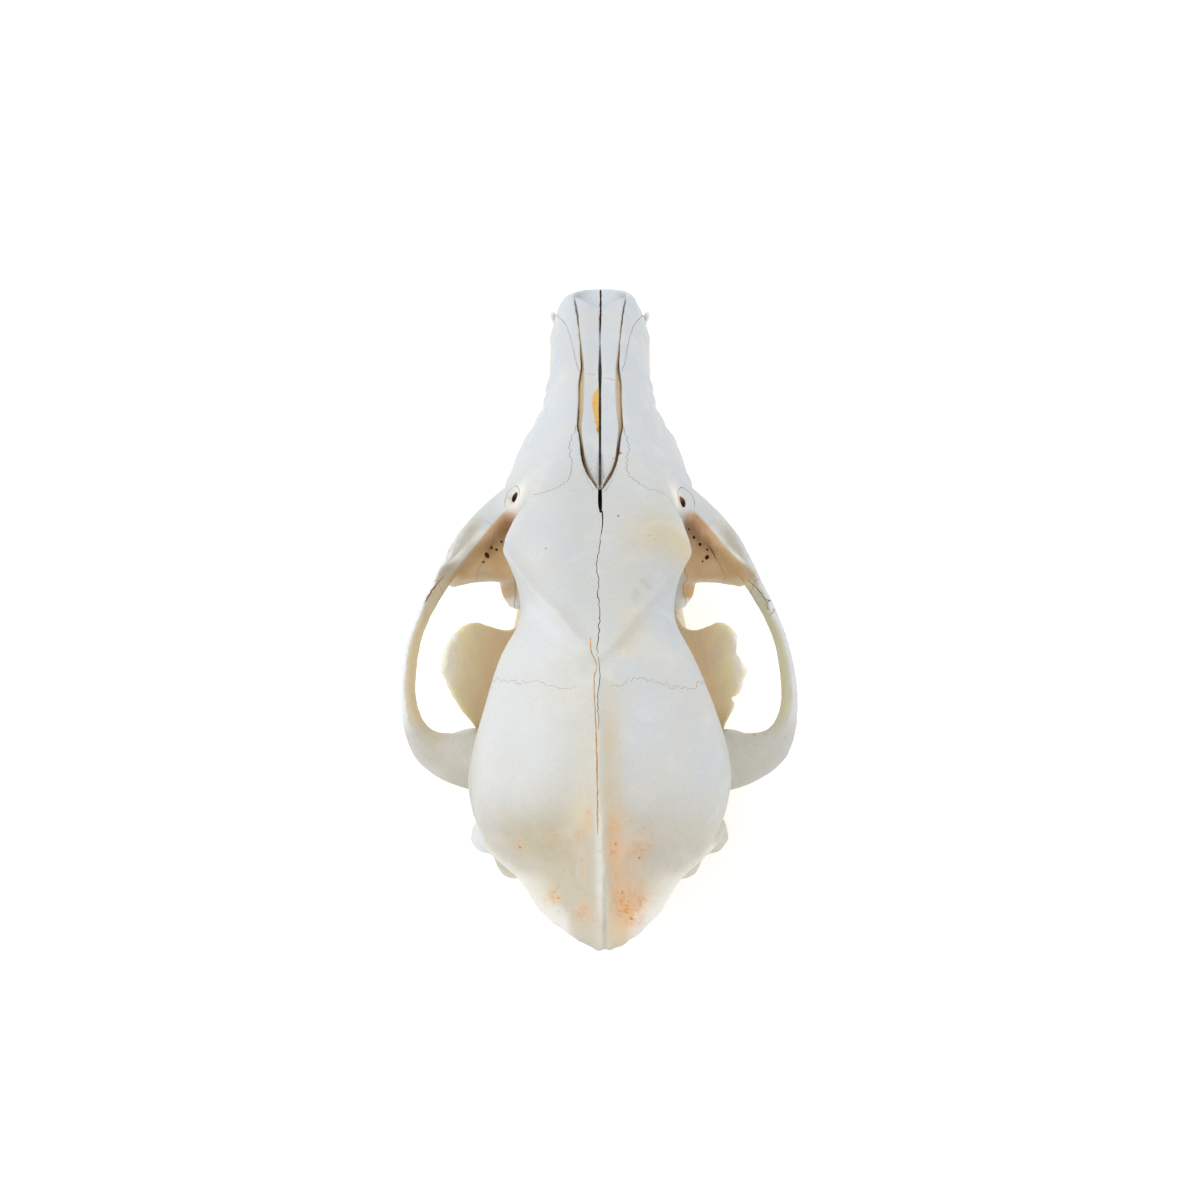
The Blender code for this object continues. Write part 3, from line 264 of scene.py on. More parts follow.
# Upper face, each row: y, top z, top half-width, middle half-width, socket half-width, palate z
FACE = [
    (1.2, 3.6, 6.2, 8.0, 8.4, 1.2),
    (3.0, 6.6, 7.6, 9.4, 9.8, 1.6),
    (6.0, 10.2, 8.8, 11.0, 11.4, 2.0),
    (9.4, 14.6, 9.4, 11.7, 11.9, 2.5),
    (12.6, 18.3, 9.5, 12.3, 12.7, 3.0),
    (15.4, 20.9, 9.2, 12.9, 14.4, 3.3),
    (20.0, 22.9, 9.0, 13.3, 15.0, 3.8),
    (28.0, 24.4, 8.4, 12.9, 15.2, 4.3),
    (37.0, 25.8, 7.9, 13.0, 15.9, 4.8),
    (45.0, 27.0, 7.9, 13.9, 17.3, 5.0),
    (51.5, 28.0, 8.3, 16.0, 20.4, 5.2),
    (58.0, 29.0, 9.2, 18.6, 23.9, 5.4),
    (66.0, 30.7, 10.8, 21.0, 26.2, 5.6),
    (74.0, 33.2, 12.9, 22.9, 28.0, 5.6),
    (81.0, 36.2, 15.0, 23.8, 28.4, 5.6),
    (87.0, 38.8, 16.2, 22.8, 28.0, 5.6),
    (92.0, 39.0, 14.0, 18.0, 26.5, 5.4),
]

# Tooth-bearing shelf that floors the orbit, each row: y, half-width, top z
SHELF = [
    (66.0, 22.5, 12.0),
    (76.0, 27.5, 13.5),
    (84.0, 29.3, 14.0),
    (92.0, 29.5, 13.5),
    (98.0, 28.2, 12.0),
    (102.0, 27.6, 10.4),
    (105.5, 26.6, 8.8),
    (108.0, 24.0, 7.0),
]

# Lower side of that shelf
SHELF_BOTTOM = 0.6

# Floor of the orbit between that shelf and the cheek arch, as seen from above, each row: x, y
ORBIT_FLOOR = [
    (16.0, 82.0), (25.0, 82.0), (32.0, 88.0), (37.0, 94.0), (40.6, 100.0), (41.6, 104.2),
    (38.4, 103.0), (34.0, 102.3), (29.0, 102.0), (24.0, 102.2), (16.0, 102.2),
]
# Lowest and highest level of that floor
ORBIT_FLOOR_LEVELS = (9.0, 17.0)

# Vault from the forehead to the occiput, each row:
# y, half-width, z of the greatest width, top z, bottom z, upper power, lower power
VAULT = [
    (80.0, 13.0, 30.0, 34.8, 22.0, 2.0, 1.6),
    (85.0, 17.0, 33.5, 37.8, 22.0, 2.0, 1.5),
    (90.0, 19.6, 35.8, 41.3, 21.5, 2.1, 1.3),
    (95.5, 21.8, 38.2, 44.8, 21.0, 2.2, 1.2),
    (100.0, 23.0, 40.8, 47.2, 20.5, 2.3, 1.1),
    (105.0, 23.9, 42.6, 49.5, 20.0, 2.4, 1.0),
    (109.0, 22.9, 43.0, 51.0, 19.5, 2.4, 1.0),
    (113.0, 20.5, 42.8, 52.3, 19.0, 2.3, 1.05),
    (117.0, 19.1, 42.0, 53.3, 17.5, 2.2, 1.2),
    (121.0, 18.6, 41.0, 54.2, 16.5, 2.1, 1.4),
    (125.0, 19.6, 40.0, 54.9, 15.5, 2.1, 1.7),
    (130.5, 22.9, 38.5, 55.7, 15.0, 2.1, 2.0),
    (137.0, 25.5, 37.0, 56.4, 14.5, 2.1, 2.2),
    (146.5, 28.7, 34.5, 56.9, 14.5, 2.1, 2.3),
    (154.0, 30.6, 33.0, 56.4, 14.5, 2.1, 2.3),
    (160.5, 31.4, 32.0, 54.9, 14.5, 2.1, 2.3),
    (166.0, 30.5, 31.5, 52.6, 14.5, 2.1, 2.2),
    (172.0, 27.6, 31.0, 49.0, 15.0, 2.1, 2.1),
    (178.0, 22.6, 30.5, 44.0, 16.0, 2.1, 2.0),
    (183.5, 16.0, 29.0, 38.0, 18.0, 2.0, 2.0),
    (186.5, 9.0, 27.5, 33.0, 21.0, 2.0, 2.0),
]

# Narrow wall between the orbits and the floor of the braincase:
# y, half-width, top z, bottom z
KEEL = [
    (78.0, 16.0, 34.0, 6.5),
    (86.0, 12.5, 36.0, 8.0),
    (94.0, 10.4, 38.0, 10.0),
    (104.0, 9.4, 40.0, 12.5),
    (114.0, 9.0, 40.0, 13.5),
    (124.0, 9.8, 38.0, 13.5),
    (134.0, 13.0, 34.0, 13.5),
    (146.0, 14.0, 30.0, 13.5),
    (160.0, 12.5, 28.0, 13.5),
    (174.0, 13.5, 26.0, 13.2),
    (184.0, 10.0, 22.0, 13.6),
]

# Cheek arch from the upper jaw round to the ear, each row:
# x, y, z, half-thickness, half-height, roll in degrees
ARCH = [
    (21.0, 74.0, 13.0, 3.6, 6.0, 30.0),
    (25.8, 81.0, 14.8, 4.2, 8.2, 38.0),
    (31.2, 87.2, 15.8, 3.6, 8.6, 42.0),
    (35.4, 92.6, 16.6, 2.8, 8.2, 42.0),
    (38.8, 98.6, 17.6, 2.3, 7.4, 36.0),
    (41.7, 104.4, 18.6, 2.1, 7.2, 26.0),
    (44.2, 109.6, 19.0, 1.9, 6.4, 16.0),
    (46.2, 115.0, 19.8, 1.7, 5.8, 9.0),
    (47.8, 120.5, 20.4, 1.7, 5.5, 5.0),
    (49.0, 128.5, 20.6, 1.7, 5.3, 0.0),
    (49.3, 135.0, 20.0, 1.8, 5.1, -3.0),
    (48.5, 141.3, 18.8, 2.4, 4.6, -5.0),
    (46.8, 145.8, 17.6, 3.6, 4.0, -5.0),
    (43.8, 149.2, 16.6, 5.1, 3.8, 0.0),
    (39.2, 151.2, 16.0, 6.4, 4.2, 0.0),
    (33.2, 152.6, 16.4, 7.5, 5.2, 0.0),
    (25.5, 153.0, 18.0, 8.0, 6.0, 0.0),
]

# Shelf behind the vault that carries the nuchal crest, each row:
# y, rim x, rim z, top z at the midline, bottom z at the midline
NUCHAL_SHELF = [
    (163.0, 27.0, 30.0, 51.5, 18.0),
    (168.0, 27.5, 30.0, 49.8, 18.0),
    (173.0, 26.6, 30.6, 48.6, 18.0),
    (176.1, 25.7, 32.0, 48.3, 20.0),
    (180.0, 21.6, 36.4, 48.3, 24.0),
    (183.3, 17.5, 40.0, 48.6, 30.0),
    (186.6, 14.9, 43.2, 49.3, 35.0),
    (190.7, 11.5, 47.8, 51.0, 41.5),
    (193.2, 8.4, 50.6, 52.2, 45.4),
    (195.5, 5.4, 52.4, 53.2, 49.0),
    (198.1, 2.0, 53.4, 54.0, 52.0),
]

# Rim of the nuchal crest from the midline down to the mastoid:
# x, y, z, half-thickness, half-depth
NUCHAL_RIM = [
    (0.0, 198.5, 53.6, 1.1, 2.4),
    (4.9, 196.2, 52.5, 0.95, 2.4),
    (8.7, 193.6, 50.4, 0.9, 2.4),
    (12.0, 190.9, 47.6, 0.85, 2.4),
    (15.1, 187.0, 43.0, 0.85, 2.4),
    (17.8, 183.6, 39.8, 0.85, 2.4),
    (21.8, 180.0, 36.0, 0.95, 2.6),
    (25.6, 176.4, 32.0, 1.2, 3.2),
    (28.8, 173.6, 27.0, 1.4, 4.0),
    (31.2, 172.0, 22.0, 1.7, 5.0),
    (31.9, 172.4, 16.5, 2.0, 5.0),
]

# Sagittal crest, each row: y, top z, half-thickness at the top, half-width of its foot, z of its foot
CREST = [
    (128.0, 54.4, 0.7, 5.0, 52.0),
    (138.0, 57.2, 0.8, 6.0, 53.6),
    (146.0, 58.8, 0.9, 7.0, 54.2),
    (156.0, 59.6, 1.0, 8.0, 52.4),
    (166.0, 59.2, 1.1, 8.0, 49.6),
    (176.0, 57.6, 1.2, 7.0, 47.6),
    (186.0, 55.8, 1.3, 5.6, 48.2),
    (193.0, 54.6, 1.5, 4.0, 50.4),
    (197.6, 54.0, 1.6, 2.4, 52.0),
]
# Depth of the sharp edge that is set into the sagittal crest
CREST_EDGE_DEPTH = 5.0

# How far back the notch over the nose opening reaches
NASAL_NOTCH = 22.0

# The seam between the face and the forehead is given at this level, and leans back below it by this slope
FACE_SEAM_LEVEL = 36.0
FACE_SEAM_LEAN = 0.52

# Seam along the arch from the side, each row: y, z
ARCH_SEAM = [
    (101.0, 32.0), (104.6, 26.0), (109.0, 19.5), (118.0, 17.8), (130.0, 17.0), (139.0, 15.4), (146.0, 11.0),
]

# Seam between the upper jaw and the cheekbone from above, each row: x, y
CHEEK_SEAM = [
    (41.0, 83.0), (36.6, 85.2), (31.0, 88.2), (28.6, 90.6), (30.0, 95.0), (33.2, 100.4), (36.4, 107.5),
]

# Slight bend of the skull to its left, each row: y, shift at the midline, shift at the sides
BEND = [
    (0.0, 0.0, 0.0), (50.0, 0.0, 0.1), (64.0, 0.0, 0.5), (85.0, 0.0, 0.5), (96.0, 0.0, 0.75),
    (108.0, 0.6, 0.8),
    (125.0, 0.4, 0.6), (136.0, 0.6, 0.3), (155.0, 0.6, -0.1), (170.0, 0.4, 0.1), (185.0, 0.1, 0.1),
    (190.0, -0.3, -0.4), (199.0, -1.1, -1.1),
]

# Lower jaw, one side. Body rows: x, y, half-thickness, ventral z, socket z
JAW_BODY = [
    (3.8, 4.0, 4.0, -17.0, -11.8),
    (5.0, 8.0, 5.6, -21.0, -11.4),
    (6.5, 14.0, 5.8, -24.8, -11.0),
    (7.4, 21.0, 4.1, -27.2, -11.4),
    (9.4, 28.0, 4.2, -28.6, -11.8),
    (11.2, 34.0, 3.9, -28.8, -11.9),
    (13.3, 48.0, 4.1, -30.0, -11.8),
    (16.1, 62.0, 4.4, -31.2, -11.2),
    (18.6, 77.0, 4.5, -31.6, -10.4),
    (20.3, 90.0, 4.2, -31.4, -8.6),
    (21.4, 101.0, 3.6, -30.4, -6.0),
    (22.8, 109.0, 3.2, -28.8, -6.0),
    (25.4, 118.0, 2.8, -27.0, -8.0),
]

# Ramus as level sections, each row: z, front y, back y, x at the front, x at the back, half-thickness
RAMUS = [
    (-27.4, 100.0, 128.0, 22.2, 26.6, 1.6),
    (-24.4, 98.0, 140.0, 21.8, 28.4, 2.6),
    (-18.0, 99.5, 144.5, 21.6, 29.6, 2.8),
    (-10.0, 103.0, 146.0, 21.6, 30.8, 2.5),
    (-3.0, 108.0, 147.0, 22.0, 31.6, 2.2),
    (2.0, 112.2, 146.0, 23.6, 32.0, 2.0),
    (6.0, 114.2, 144.2, 26.2, 32.2, 1.9),
    (12.0, 115.1, 142.6, 29.3, 32.8, 1.7),
    (19.0, 116.0, 141.2, 32.2, 34.1, 1.6),
    (25.0, 118.8, 139.0, 34.3, 35.4, 1.5),
    (29.0, 122.2, 136.6, 35.8, 36.4, 1.3),
    (32.8, 127.4, 133.6, 37.2, 37.6, 0.9),
]
# How far each coronoid process leans to the skull's left, LEAN_SPAN above LEAN_START
CORONOID_LEAN = 1.4
LEAN_START = 8.0
LEAN_SPAN = 22.0

# Teeth, each row: name, x, y, turn of its long axis in degrees, root z, rim z, then cusps.
# A cusp is: forward offset, sideways offset, tip z, half-length, half-width.
UPPER_TEETH = [
    ("incisor_1", 2.0, 2.6, 88.0, 3.0, 0.3, [(0.0, 0.0, -5.8, 1.8, 1.7)]),
    ("incisor_2", 5.8, 3.6, 72.0, 3.0, 0.3, [(0.0, 0.0, -6.4, 2.0, 1.8)]),
    ("incisor_3", 9.2, 6.2, 45.0, 3.0, 0.3, [(0.3, 0.4, -8.6, 2.4, 2.0)]),
    ("canine", 13.5, 19.4, 4.0, 5.0, 0.5, [(-0.9, 2.7, -21.0, 4.3, 2.5)]),
    ("premolar_1", 14.0, 29.0, 3.0, 3.0, 0.5, [(0.0, 0.0, -4.6, 2.5, 1.6)]),
    ("premolar_2", 14.5, 39.0, 6.0, 3.0, 0.5, [(0.6, 0.0, -6.6, 4.9, 1.9), (-3.6, 0.0, -2.8, 1.7, 1.4)]),
    ("premolar_3", 16.4, 51.6, 15.0, 3.0, 0.5, [(0.7, 0.0, -7.4, 5.6, 2.1), (-4.2, 0.0, -3.4, 1.9, 1.6)]),
    (
        "carnassial", 23.3, 72.6, 17.0, 3.0, 0.5,
        [(2.8, 0.6, -10.6, 6.2, 2.9), (-5.4, 0.4, -7.6, 4.2, 2.4), (6.6, -3.4, -3.6, 2.6, 2.4)],
    ),
    (
        "molar_1", 22.4, 89.2, 2.0, 3.0, 0.6,
        [
            (2.6, 3.9, -6.2, 3.2, 2.8), (-2.8, 3.5, -5.2, 3.0, 2.6),
            (0.0, -1.6, -4.0, 5.2, 5.0), (0.4, -5.0, -2.8, 3.6, 2.6),
        ],
    ),
    (
        "molar_2", 22.2, 102.2, -4.0, 3.0, 0.6,
        [(1.0, 2.6, -3.9, 2.4, 2.0), (-1.4, 2.2, -3.4, 2.0, 1.8), (0.0, -1.2, -2.8, 3.1, 3.6)],
    ),
]
LOWER_TEETH = [
    ("incisor_1", 1.6, 4.6, 88.0, -14.5, -11.6, [(0.3, 0.0, -6.6, 1.3, 1.5)]),
    ("incisor_2", 4.1, 4.9, 80.0, -14.5, -11.6, [(0.3, 0.0, -6.4, 1.4, 1.6)]),
    ("incisor_3", 6.6, 6.6, 62.0, -14.5, -11.6, [(0.3, 0.0, -6.4, 1.6, 1.6)]),
    ("canine", 9.8, 12.8, -6.0, -16.0, -11.6, [(2.6, 5.3, 5.0, 4.0, 2.6)]),
    ("premolar_1", 10.3, 23.4, 6.0, -14.5, -11.6, [(0.0, 0.0, -8.6, 2.0, 1.4)]),
    ("premolar_2", 11.2, 32.6, 7.0, -14.5, -11.6, [(0.6, 0.0, -6.4, 4.1, 1.7), (-3.0, 0.0, -9.0, 1.5, 1.3)]),
    ("premolar_3", 12.7, 44.6, 9.0, -14.5, -11.6, [(0.6, 0.0, -5.8, 4.8, 1.9), (-3.8, 0.0, -8.6, 1.7, 1.5)]),
    ("premolar_4", 14.6, 56.9, 10.0, -14.5, -11.6, [(0.6, 0.0, -5.2, 5.4, 2.2), (-4.4, 0.0, -8.0, 2.0, 1.8)]),
    (
        "carnassial", 17.6, 73.2, 10.0, -14.0, -10.8,
        [(6.2, 0.0, -5.0, 3.8, 2.5), (0.6, 0.2, -1.6, 4.6, 3.1), (-7.2, -0.2, -7.2, 3.6, 3.0)],
    ),
    ("molar_2", 19.8, 91.0, 10.0, -12.0, -8.8, [(1.6, 0.4, -6.6, 2.9, 2.4), (-2.2, 0.0, -6.8, 2.2, 2.2)]),
    ("molar_3", 20.8, 99.0, 10.0, -10.0, -6.8, [(0.0, 0.0, -5.0, 1.9, 1.8)]),
]
# Swell of a cusp from its rim to its tip, each row: share of the height, share of the full width.
# A cusp is tall when its tip stands further than TALL_CUSP from its rim.
TALL_CUSP = 12.0
TALL_SWELL = [(0.0, 0.92), (0.15, 1.0), (0.4, 0.92), (0.65, 0.70), (0.85, 0.42), (1.0, 0.10)]
SHORT_SWELL = [(0.0, 0.90), (0.25, 1.0), (0.5, 0.88), (0.78, 0.52), (0.92, 0.28), (1.0, 0.08)]

# Nasal bones from above, each row: y, half-width of the bone, half-width of its bed, top z
NASAL_BONES = [
    (8.0, 8.55, 8.80, 19.4),
    (15.2, 7.55, 7.78, 21.6),
    (25.9, 6.18, 6.45, 24.1),
    (37.0, 5.00, 5.62, 25.8),
    (44.0, 4.55, 5.40, 26.8),
    (47.5, 4.40, 5.85, 27.3),
    (54.7, 4.40, 5.95, 28.5),
    (60.0, 4.75, 6.10, 29.4),
    (63.5, 5.05, 6.20, 30.1),
    (67.0, 4.98, 5.60, 30.9),
    (70.6, 4.55, 5.26, 32.0),
    (75.6, 3.90, 4.72, 33.8),
    (79.4, 2.95, 3.82, 35.4),
    (82.5, 1.70, 2.60, 36.8),
    (86.0, 0.35, 1.00, 38.2),
]
# Gap between the two nasal bones, each row: y, half-width
MIDLINE_GAP = [
    (8.0, 0.33), (24.0, 0.31), (40.0, 0.27), (56.0, 0.24), (66.0, 0.19), (78.0, 0.13), (86.0, 0.13),
]
# Hole between the frontal bones behind them and the slit that runs on from it:
# y, x, half-width, depth
FRONTAL_HOLE = [
    (84.4, 0.0, 0.30, 6.0), (87.0, 0.0, 0.50, 6.0), (90.0, 0.0, 0.56, 6.0), (93.0, -0.05, 0.50, 5.0),
    (95.4, -0.2, 0.26, 3.0),
]
FRONTAL_SLIT = [
    (94.6, -0.5, 0.20, 2.4), (97.0, -0.65, 0.17, 2.2), (99.5, -0.6, 0.14, 1.8), (102.8, -0.25, 0.10, 1.2),
]
# Seam between the face and the forehead from above, each row: x, y at FACE_SEAM_LEVEL
FOREHEAD_SEAM = [
    (-36.0, 103.0), (-30.0, 101.0), (-24.5, 92.0), (-22.0, 87.0), (-16.8, 87.0), (-12.8, 87.8), (-9.6, 84.7),
    (-8.0, 82.5), (-7.1, 79.3), (-7.1, 74.9), (-7.7, 70.2), (-7.0, 64.9), (-6.0, 60.2), (0.0, 59.0),
    (6.0, 59.2), (7.2, 63.2), (8.1, 67.1), (7.8, 72.5), (7.4, 75.5), (8.3, 83.0), (9.8, 85.5), (11.3, 86.7),
    (14.1, 88.3), (18.4, 86.5), (22.0, 87.0), (24.5, 92.0), (30.0, 101.0), (36.0, 103.0),
]

# Seams and cracks drawn on the surface: name, slot, width, depth, sway, points
SEAMS = [
    ("nose_groove", DARK, 0.55, 0.9, 0.03, [
        (-0.2, 0.8, 4.4), (-0.2, 4.0, 5.4), (-0.2, 9.0, 5.9), (-0.1, 16.0, 6.2), (0.0, 22.0, 6.9)]),
    ("arch_gap_left", RUST, 0.42, 0.8, 0.06, [
        (40.8, 104.4, 22.6), (41.6, 105.4, 22.8), (43.0, 107.6, 23.6), (44.7, 110.0, 24.0),
        (46.2, 113.0, 24.2)]),
    ("arch_gap_right", RUST, 0.30, 0.6, 0.06, [
        (-39.7, 104.7, 20.8), (-41.4, 107.2, 22.0), (-43.0, 110.0, 23.0), (-44.4, 112.9, 23.4),
        (-45.2, 116.0, 23.6)]),
    ("frontal_suture", BROWN, 0.20, 0.4, 0.13, [
        (-0.1, 102.0, 48.2), (0.2, 106.6, 50.1), (0.8, 109.8, 51.2), (0.9, 112.7, 52.1), (0.3, 116.5, 53.1),
        (0.5, 120.8, 54.1), (0.0, 124.9, 54.8), (0.2, 128.9, 55.4), (0.5, 132.8, 55.9), (0.8, 136.0, 56.3)]),
    ("crest_groove", RUST, 0.42, 0.16, 0.03, [
        (2.2, 131.0, 55.6), (1.9, 136.0, 56.6), (1.3, 145.0, 58.2), (0.8, 155.0, 59.4), (0.6, 165.0, 59.2),
        (0.5, 175.0, 57.8)]),
    ("crest_branch", BROWN, 0.20, 0.2, 0.06, [
        (0.4, 135.5, 56.6), (-0.2, 140.0, 57.4), (0.5, 145.0, 58.2), (0.3, 153.0, 59.2)]),
    ("premaxilla_left", FAINT, 0.14, 0.4, 0.08, [
        (14.8, 13.5, 8.0), (13.2, 17.0, 13.0), (11.9, 20.2, 16.1), (10.0, 25.1, 19.8), (8.7, 29.8, 21.9),
        (7.7, 35.0, 23.6), (6.9, 40.0, 24.8), (5.9, 44.6, 26.2)]),
    ("premaxilla_right", DARK, 0.13, 0.4, 0.05, [
        (-14.8, 13.5, 8.0), (-13.2, 17.0, 13.0), (-11.9, 20.2, 16.1), (-10.0, 25.1, 19.8), (-8.7, 29.9, 21.9),
        (-7.7, 34.9, 23.5), (-7.2, 39.9, 24.6), (-5.9, 45.6, 26.4)]),
    ("coronal_left", FAINT, 0.13, 0.04, 0.35, [
        (26.2, 138.4, 38.0), (24.6, 138.6, 43.5), (22.5, 139.0, 47.2), (18.1, 140.8, 51.6),
        (13.5, 141.0, 54.1), (8.9, 143.0, 55.8), (4.4, 142.7, 56.5)]),
    ("coronal_right", FAINT, 0.17, 0.05, 0.35, [
        (-26.2, 138.4, 38.0), (-24.6, 138.6, 43.5), (-20.5, 141.5, 49.8), (-14.6, 141.5, 53.7),
        (-10.0, 140.6, 55.3), (-5.5, 141.7, 56.3), (-1.6, 143.8, 57.4)]),
    ("nasal_crack_right", FAINT, 0.22, 0.2, 0.10, [
        (-1.0, 47.0, 27.3), (-3.1, 47.6, 27.3), (-4.6, 47.9, 27.1)]),
    ("nasal_crack_left", FAINT, 0.16, 0.15, 0.10, [(4.2, 45.4, 26.7), (2.8, 45.9, 27.0), (0.9, 45.9, 27.1)]),
    ("orbit_crack", DARK, 0.28, 0.5, 0.10, [(-29.4, 93.2, 19.6), (-31.2, 95.6, 18.2), (-32.4, 97.9, 17.2)]),
]
# Seams alike on both sides of the skull: name, slot, width, depth, sway, points of one side
PAIRED_SEAMS = [
    ("squamosal", FAINT, 0.22, 0.12, 0.30, [
        (27.5, 141.0, 25.0), (29.3, 146.0, 31.0), (30.4, 152.0, 36.5), (30.0, 159.0, 38.0),
        (28.8, 165.0, 36.0), (28.0, 170.0, 31.0)]),
    ("lacrimal", DARK, 0.14, 0.4, 0.05, [
        (25.9, 84.5, 21.8), (25.9, 81.0, 20.6), (24.9, 78.4, 19.6), (23.2, 77.6, 20.4), (21.8, 79.2, 22.8),
        (21.0, 82.6, 25.4), (21.3, 85.6, 25.8)]),
    ("jaw_joint", DARK, 0.12, 0.5, 0.2, [(46.6, 115.8, 14.0), (48.6, 120.5, 17.0)]),
    ("palate_side", DARK, 0.12, 0.5, 0.25, [
        (3.0, 70.0, 4.8), (9.0, 67.0, 4.6), (13.0, 74.0, 4.4), (15.5, 86.0, 4.2)]),
]
MIDLINE_SEAMS = [
    ("palate_suture", DARK, 0.14, 0.6, 0.12, [
        (0.0, 22.0, 3.2), (0.0, 48.0, 4.4), (0.0, 72.0, 5.0), (0.0, 98.0, 5.6)]),
    ("skull_base_suture", DARK, 0.16, 0.6, 0.2, [
        (-6.5, 150.0, 13.5), (0.0, 150.6, 13.3), (6.5, 150.0, 13.5)]),
]

# Small holes in the floors of the orbits: x, y, z on the surface, half-width, half-length, depth
PITS = [
    (31.0, 96.4, 17.1, 0.60, 0.95, 0.9), (30.2, 93.9, 17.4, 0.38, 0.50, 0.7),
    (28.4, 94.8, 17.1, 0.32, 0.40, 0.6), (27.3, 92.4, 17.4, 0.36, 0.44, 0.6),
    (31.8, 98.4, 17.0, 0.30, 0.36, 0.5), (-26.6, 91.0, 17.7, 0.42, 0.55, 0.7),
    (-27.9, 93.0, 17.3, 0.50, 0.48, 0.7), (-29.9, 94.5, 17.5, 0.34, 0.44, 0.6),
    (-29.3, 97.0, 17.0, 0.55, 0.72, 0.9), (-28.0, 98.2, 17.0, 0.26, 0.28, 0.5),
    (-25.2, 88.9, 18.5, 0.30, 0.40, 0.5), (-4.4, 96.4, 45.1, 0.30, 0.26, 0.5),
]
# Specks on the forehead and the rear: x, y, z on the surface, half-width, half-length, depth
SPECKS = [
    (-13.3, 104.6, 48.5, 0.22, 0.20, 0.2), (-12.0, 103.6, 48.2, 0.18, 0.20, 0.2),
    (12.9, 107.4, 49.5, 0.20, 0.24, 0.2), (6.7, 86.6, 38.8, 0.24, 0.18, 0.2),
    (1.0, 77.4, 35.2, 0.28, 0.26, 0.2), (-1.6, 78.6, 35.6, 0.24, 0.20, 0.2),
    (15.6, 50.5, 16.0, 0.35, 0.35, 0.9), (18.0, 176.2, 41.2, 0.30, 0.30, 0.2),
    (9.0, 186.8, 47.8, 0.30, 0.26, 0.2), (-6.7, 191.6, 51.8, 0.42, 0.34, 0.3),
    (-4.2, 176.4, 51.9, 0.32, 0.45, 0.25), (-9.4, 179.2, 45.8, 0.30, 0.30, 0.2),
    (-5.6, 186.0, 49.8, 0.34, 0.45, 0.25), (-4.9, 73.2, 32.6, 0.50, 0.90, 0.5),
    (-3.6, 75.2, 33.6, 0.40, 0.60, 0.4), (-30.2, 160.2, 36.2, 0.30, 0.25, 0.2),
]
# Holes for nerves and vessels, alike on both sides: x, y, z, half-width, half-length, depth
FORAMINA = [
    (13.4, 145.5, 14.0, 1.5, 2.0, 3.0), (10.2, 124.0, 23.0, 1.3, 2.0, 3.0),
    (10.0, 117.5, 26.0, 1.0, 1.3, 2.5), (10.6, 131.0, 20.0, 1.4, 2.2, 3.0),
    (12.6, 171.0, 13.0, 2.0, 1.6, 3.0), (9.6, 177.6, 14.6, 0.9, 0.8, 2.0), (30.6, 156.4, 10.4, 1.0, 0.9, 2.0),
    (8.6, 67.5, 4.6, 0.9, 1.5, 2.0), (7.4, 74.5, 4.9, 0.5, 0.7, 1.5), (3.0, 14.0, 2.6, 1.35, 4.6, 2.8),
    (12.4, 97.0, 15.5, 1.2, 1.6, 2.5), (13.6, 111.5, 31.0, 0.6, 0.7, 1.5),
]
# Lacrimal openings: x, y, z, half-width, half-length, depth
LACRIMAL = [(23.2, 81.9, 22.0, 0.92, 1.62, 5.0), (-22.5, 82.9, 24.0, 0.95, 1.62, 5.0)]
# Holes in the outer side of each jaw: x, y, z, half-width, half-length, depth
JAW_FORAMINA = [
    (14.0, 30.5, -21.5, 1.1, 1.4, 2.4), (16.4, 45.5, -22.5, 0.8, 1.0, 2.0),
    (24.8, 126.0, -9.0, 1.3, 2.0, 2.4),
]

# Bites out of the edge of the right coronoid process, each row: centre, radii
RIGHT_NOTCHES = [((-36.4, 137.8, 19.0), (2.6, 2.2, 8.0)), ((-38.4, 127.6, 27.0), (3.2, 6.6, 8.0))]

# Blunt tip of a lower canine, as centre and radii
WORN_TIP = [((14.8, 11.3, 4.2), (0.95, 1.3, 1.8))]

# The nuchal rim's path, without its sizes, on each side
LEFT_RIM = [row[:3] for row in NUCHAL_RIM]
RIGHT_RIM = [(-x, y, z) for x, y, z in LEFT_RIM]

# Temporal ridges, each as its height and its line from the postorbital process to the crest
TEMPORAL_RIDGES = [
    (0.45, [
        (23.2, 105.6, 44.0), (21.2, 109.4, 46.2), (19.0, 113.0, 47.6), (15.4, 118.0, 49.8),
        (11.6, 122.6, 52.2), (8.5, 126.6, 54.0), (5.7, 130.4, 55.2), (2.9, 133.8, 55.9), (0.8, 136.0, 56.4)]),
    (0.60, [
        (-23.2, 105.6, 44.0), (-21.0, 109.4, 46.2), (-18.6, 113.0, 47.6), (-15.0, 117.7, 49.8),
        (-11.6, 121.5, 52.0), (-8.7, 125.2, 53.8), (-5.7, 129.3, 55.1), (-2.7, 133.0, 55.9),
        (0.2, 136.0, 56.4)]),
]
# Half-width of the forehead between the ridges, each row: y, x
RIDGE_LINE = [
    (100.0, 26.0), (105.6, 23.2), (109.4, 21.1), (113.0, 18.8), (118.0, 15.2), (122.6, 11.4), (126.6, 8.3),
    (130.4, 5.6), (133.8, 2.8), (140.0, 0.4),
]
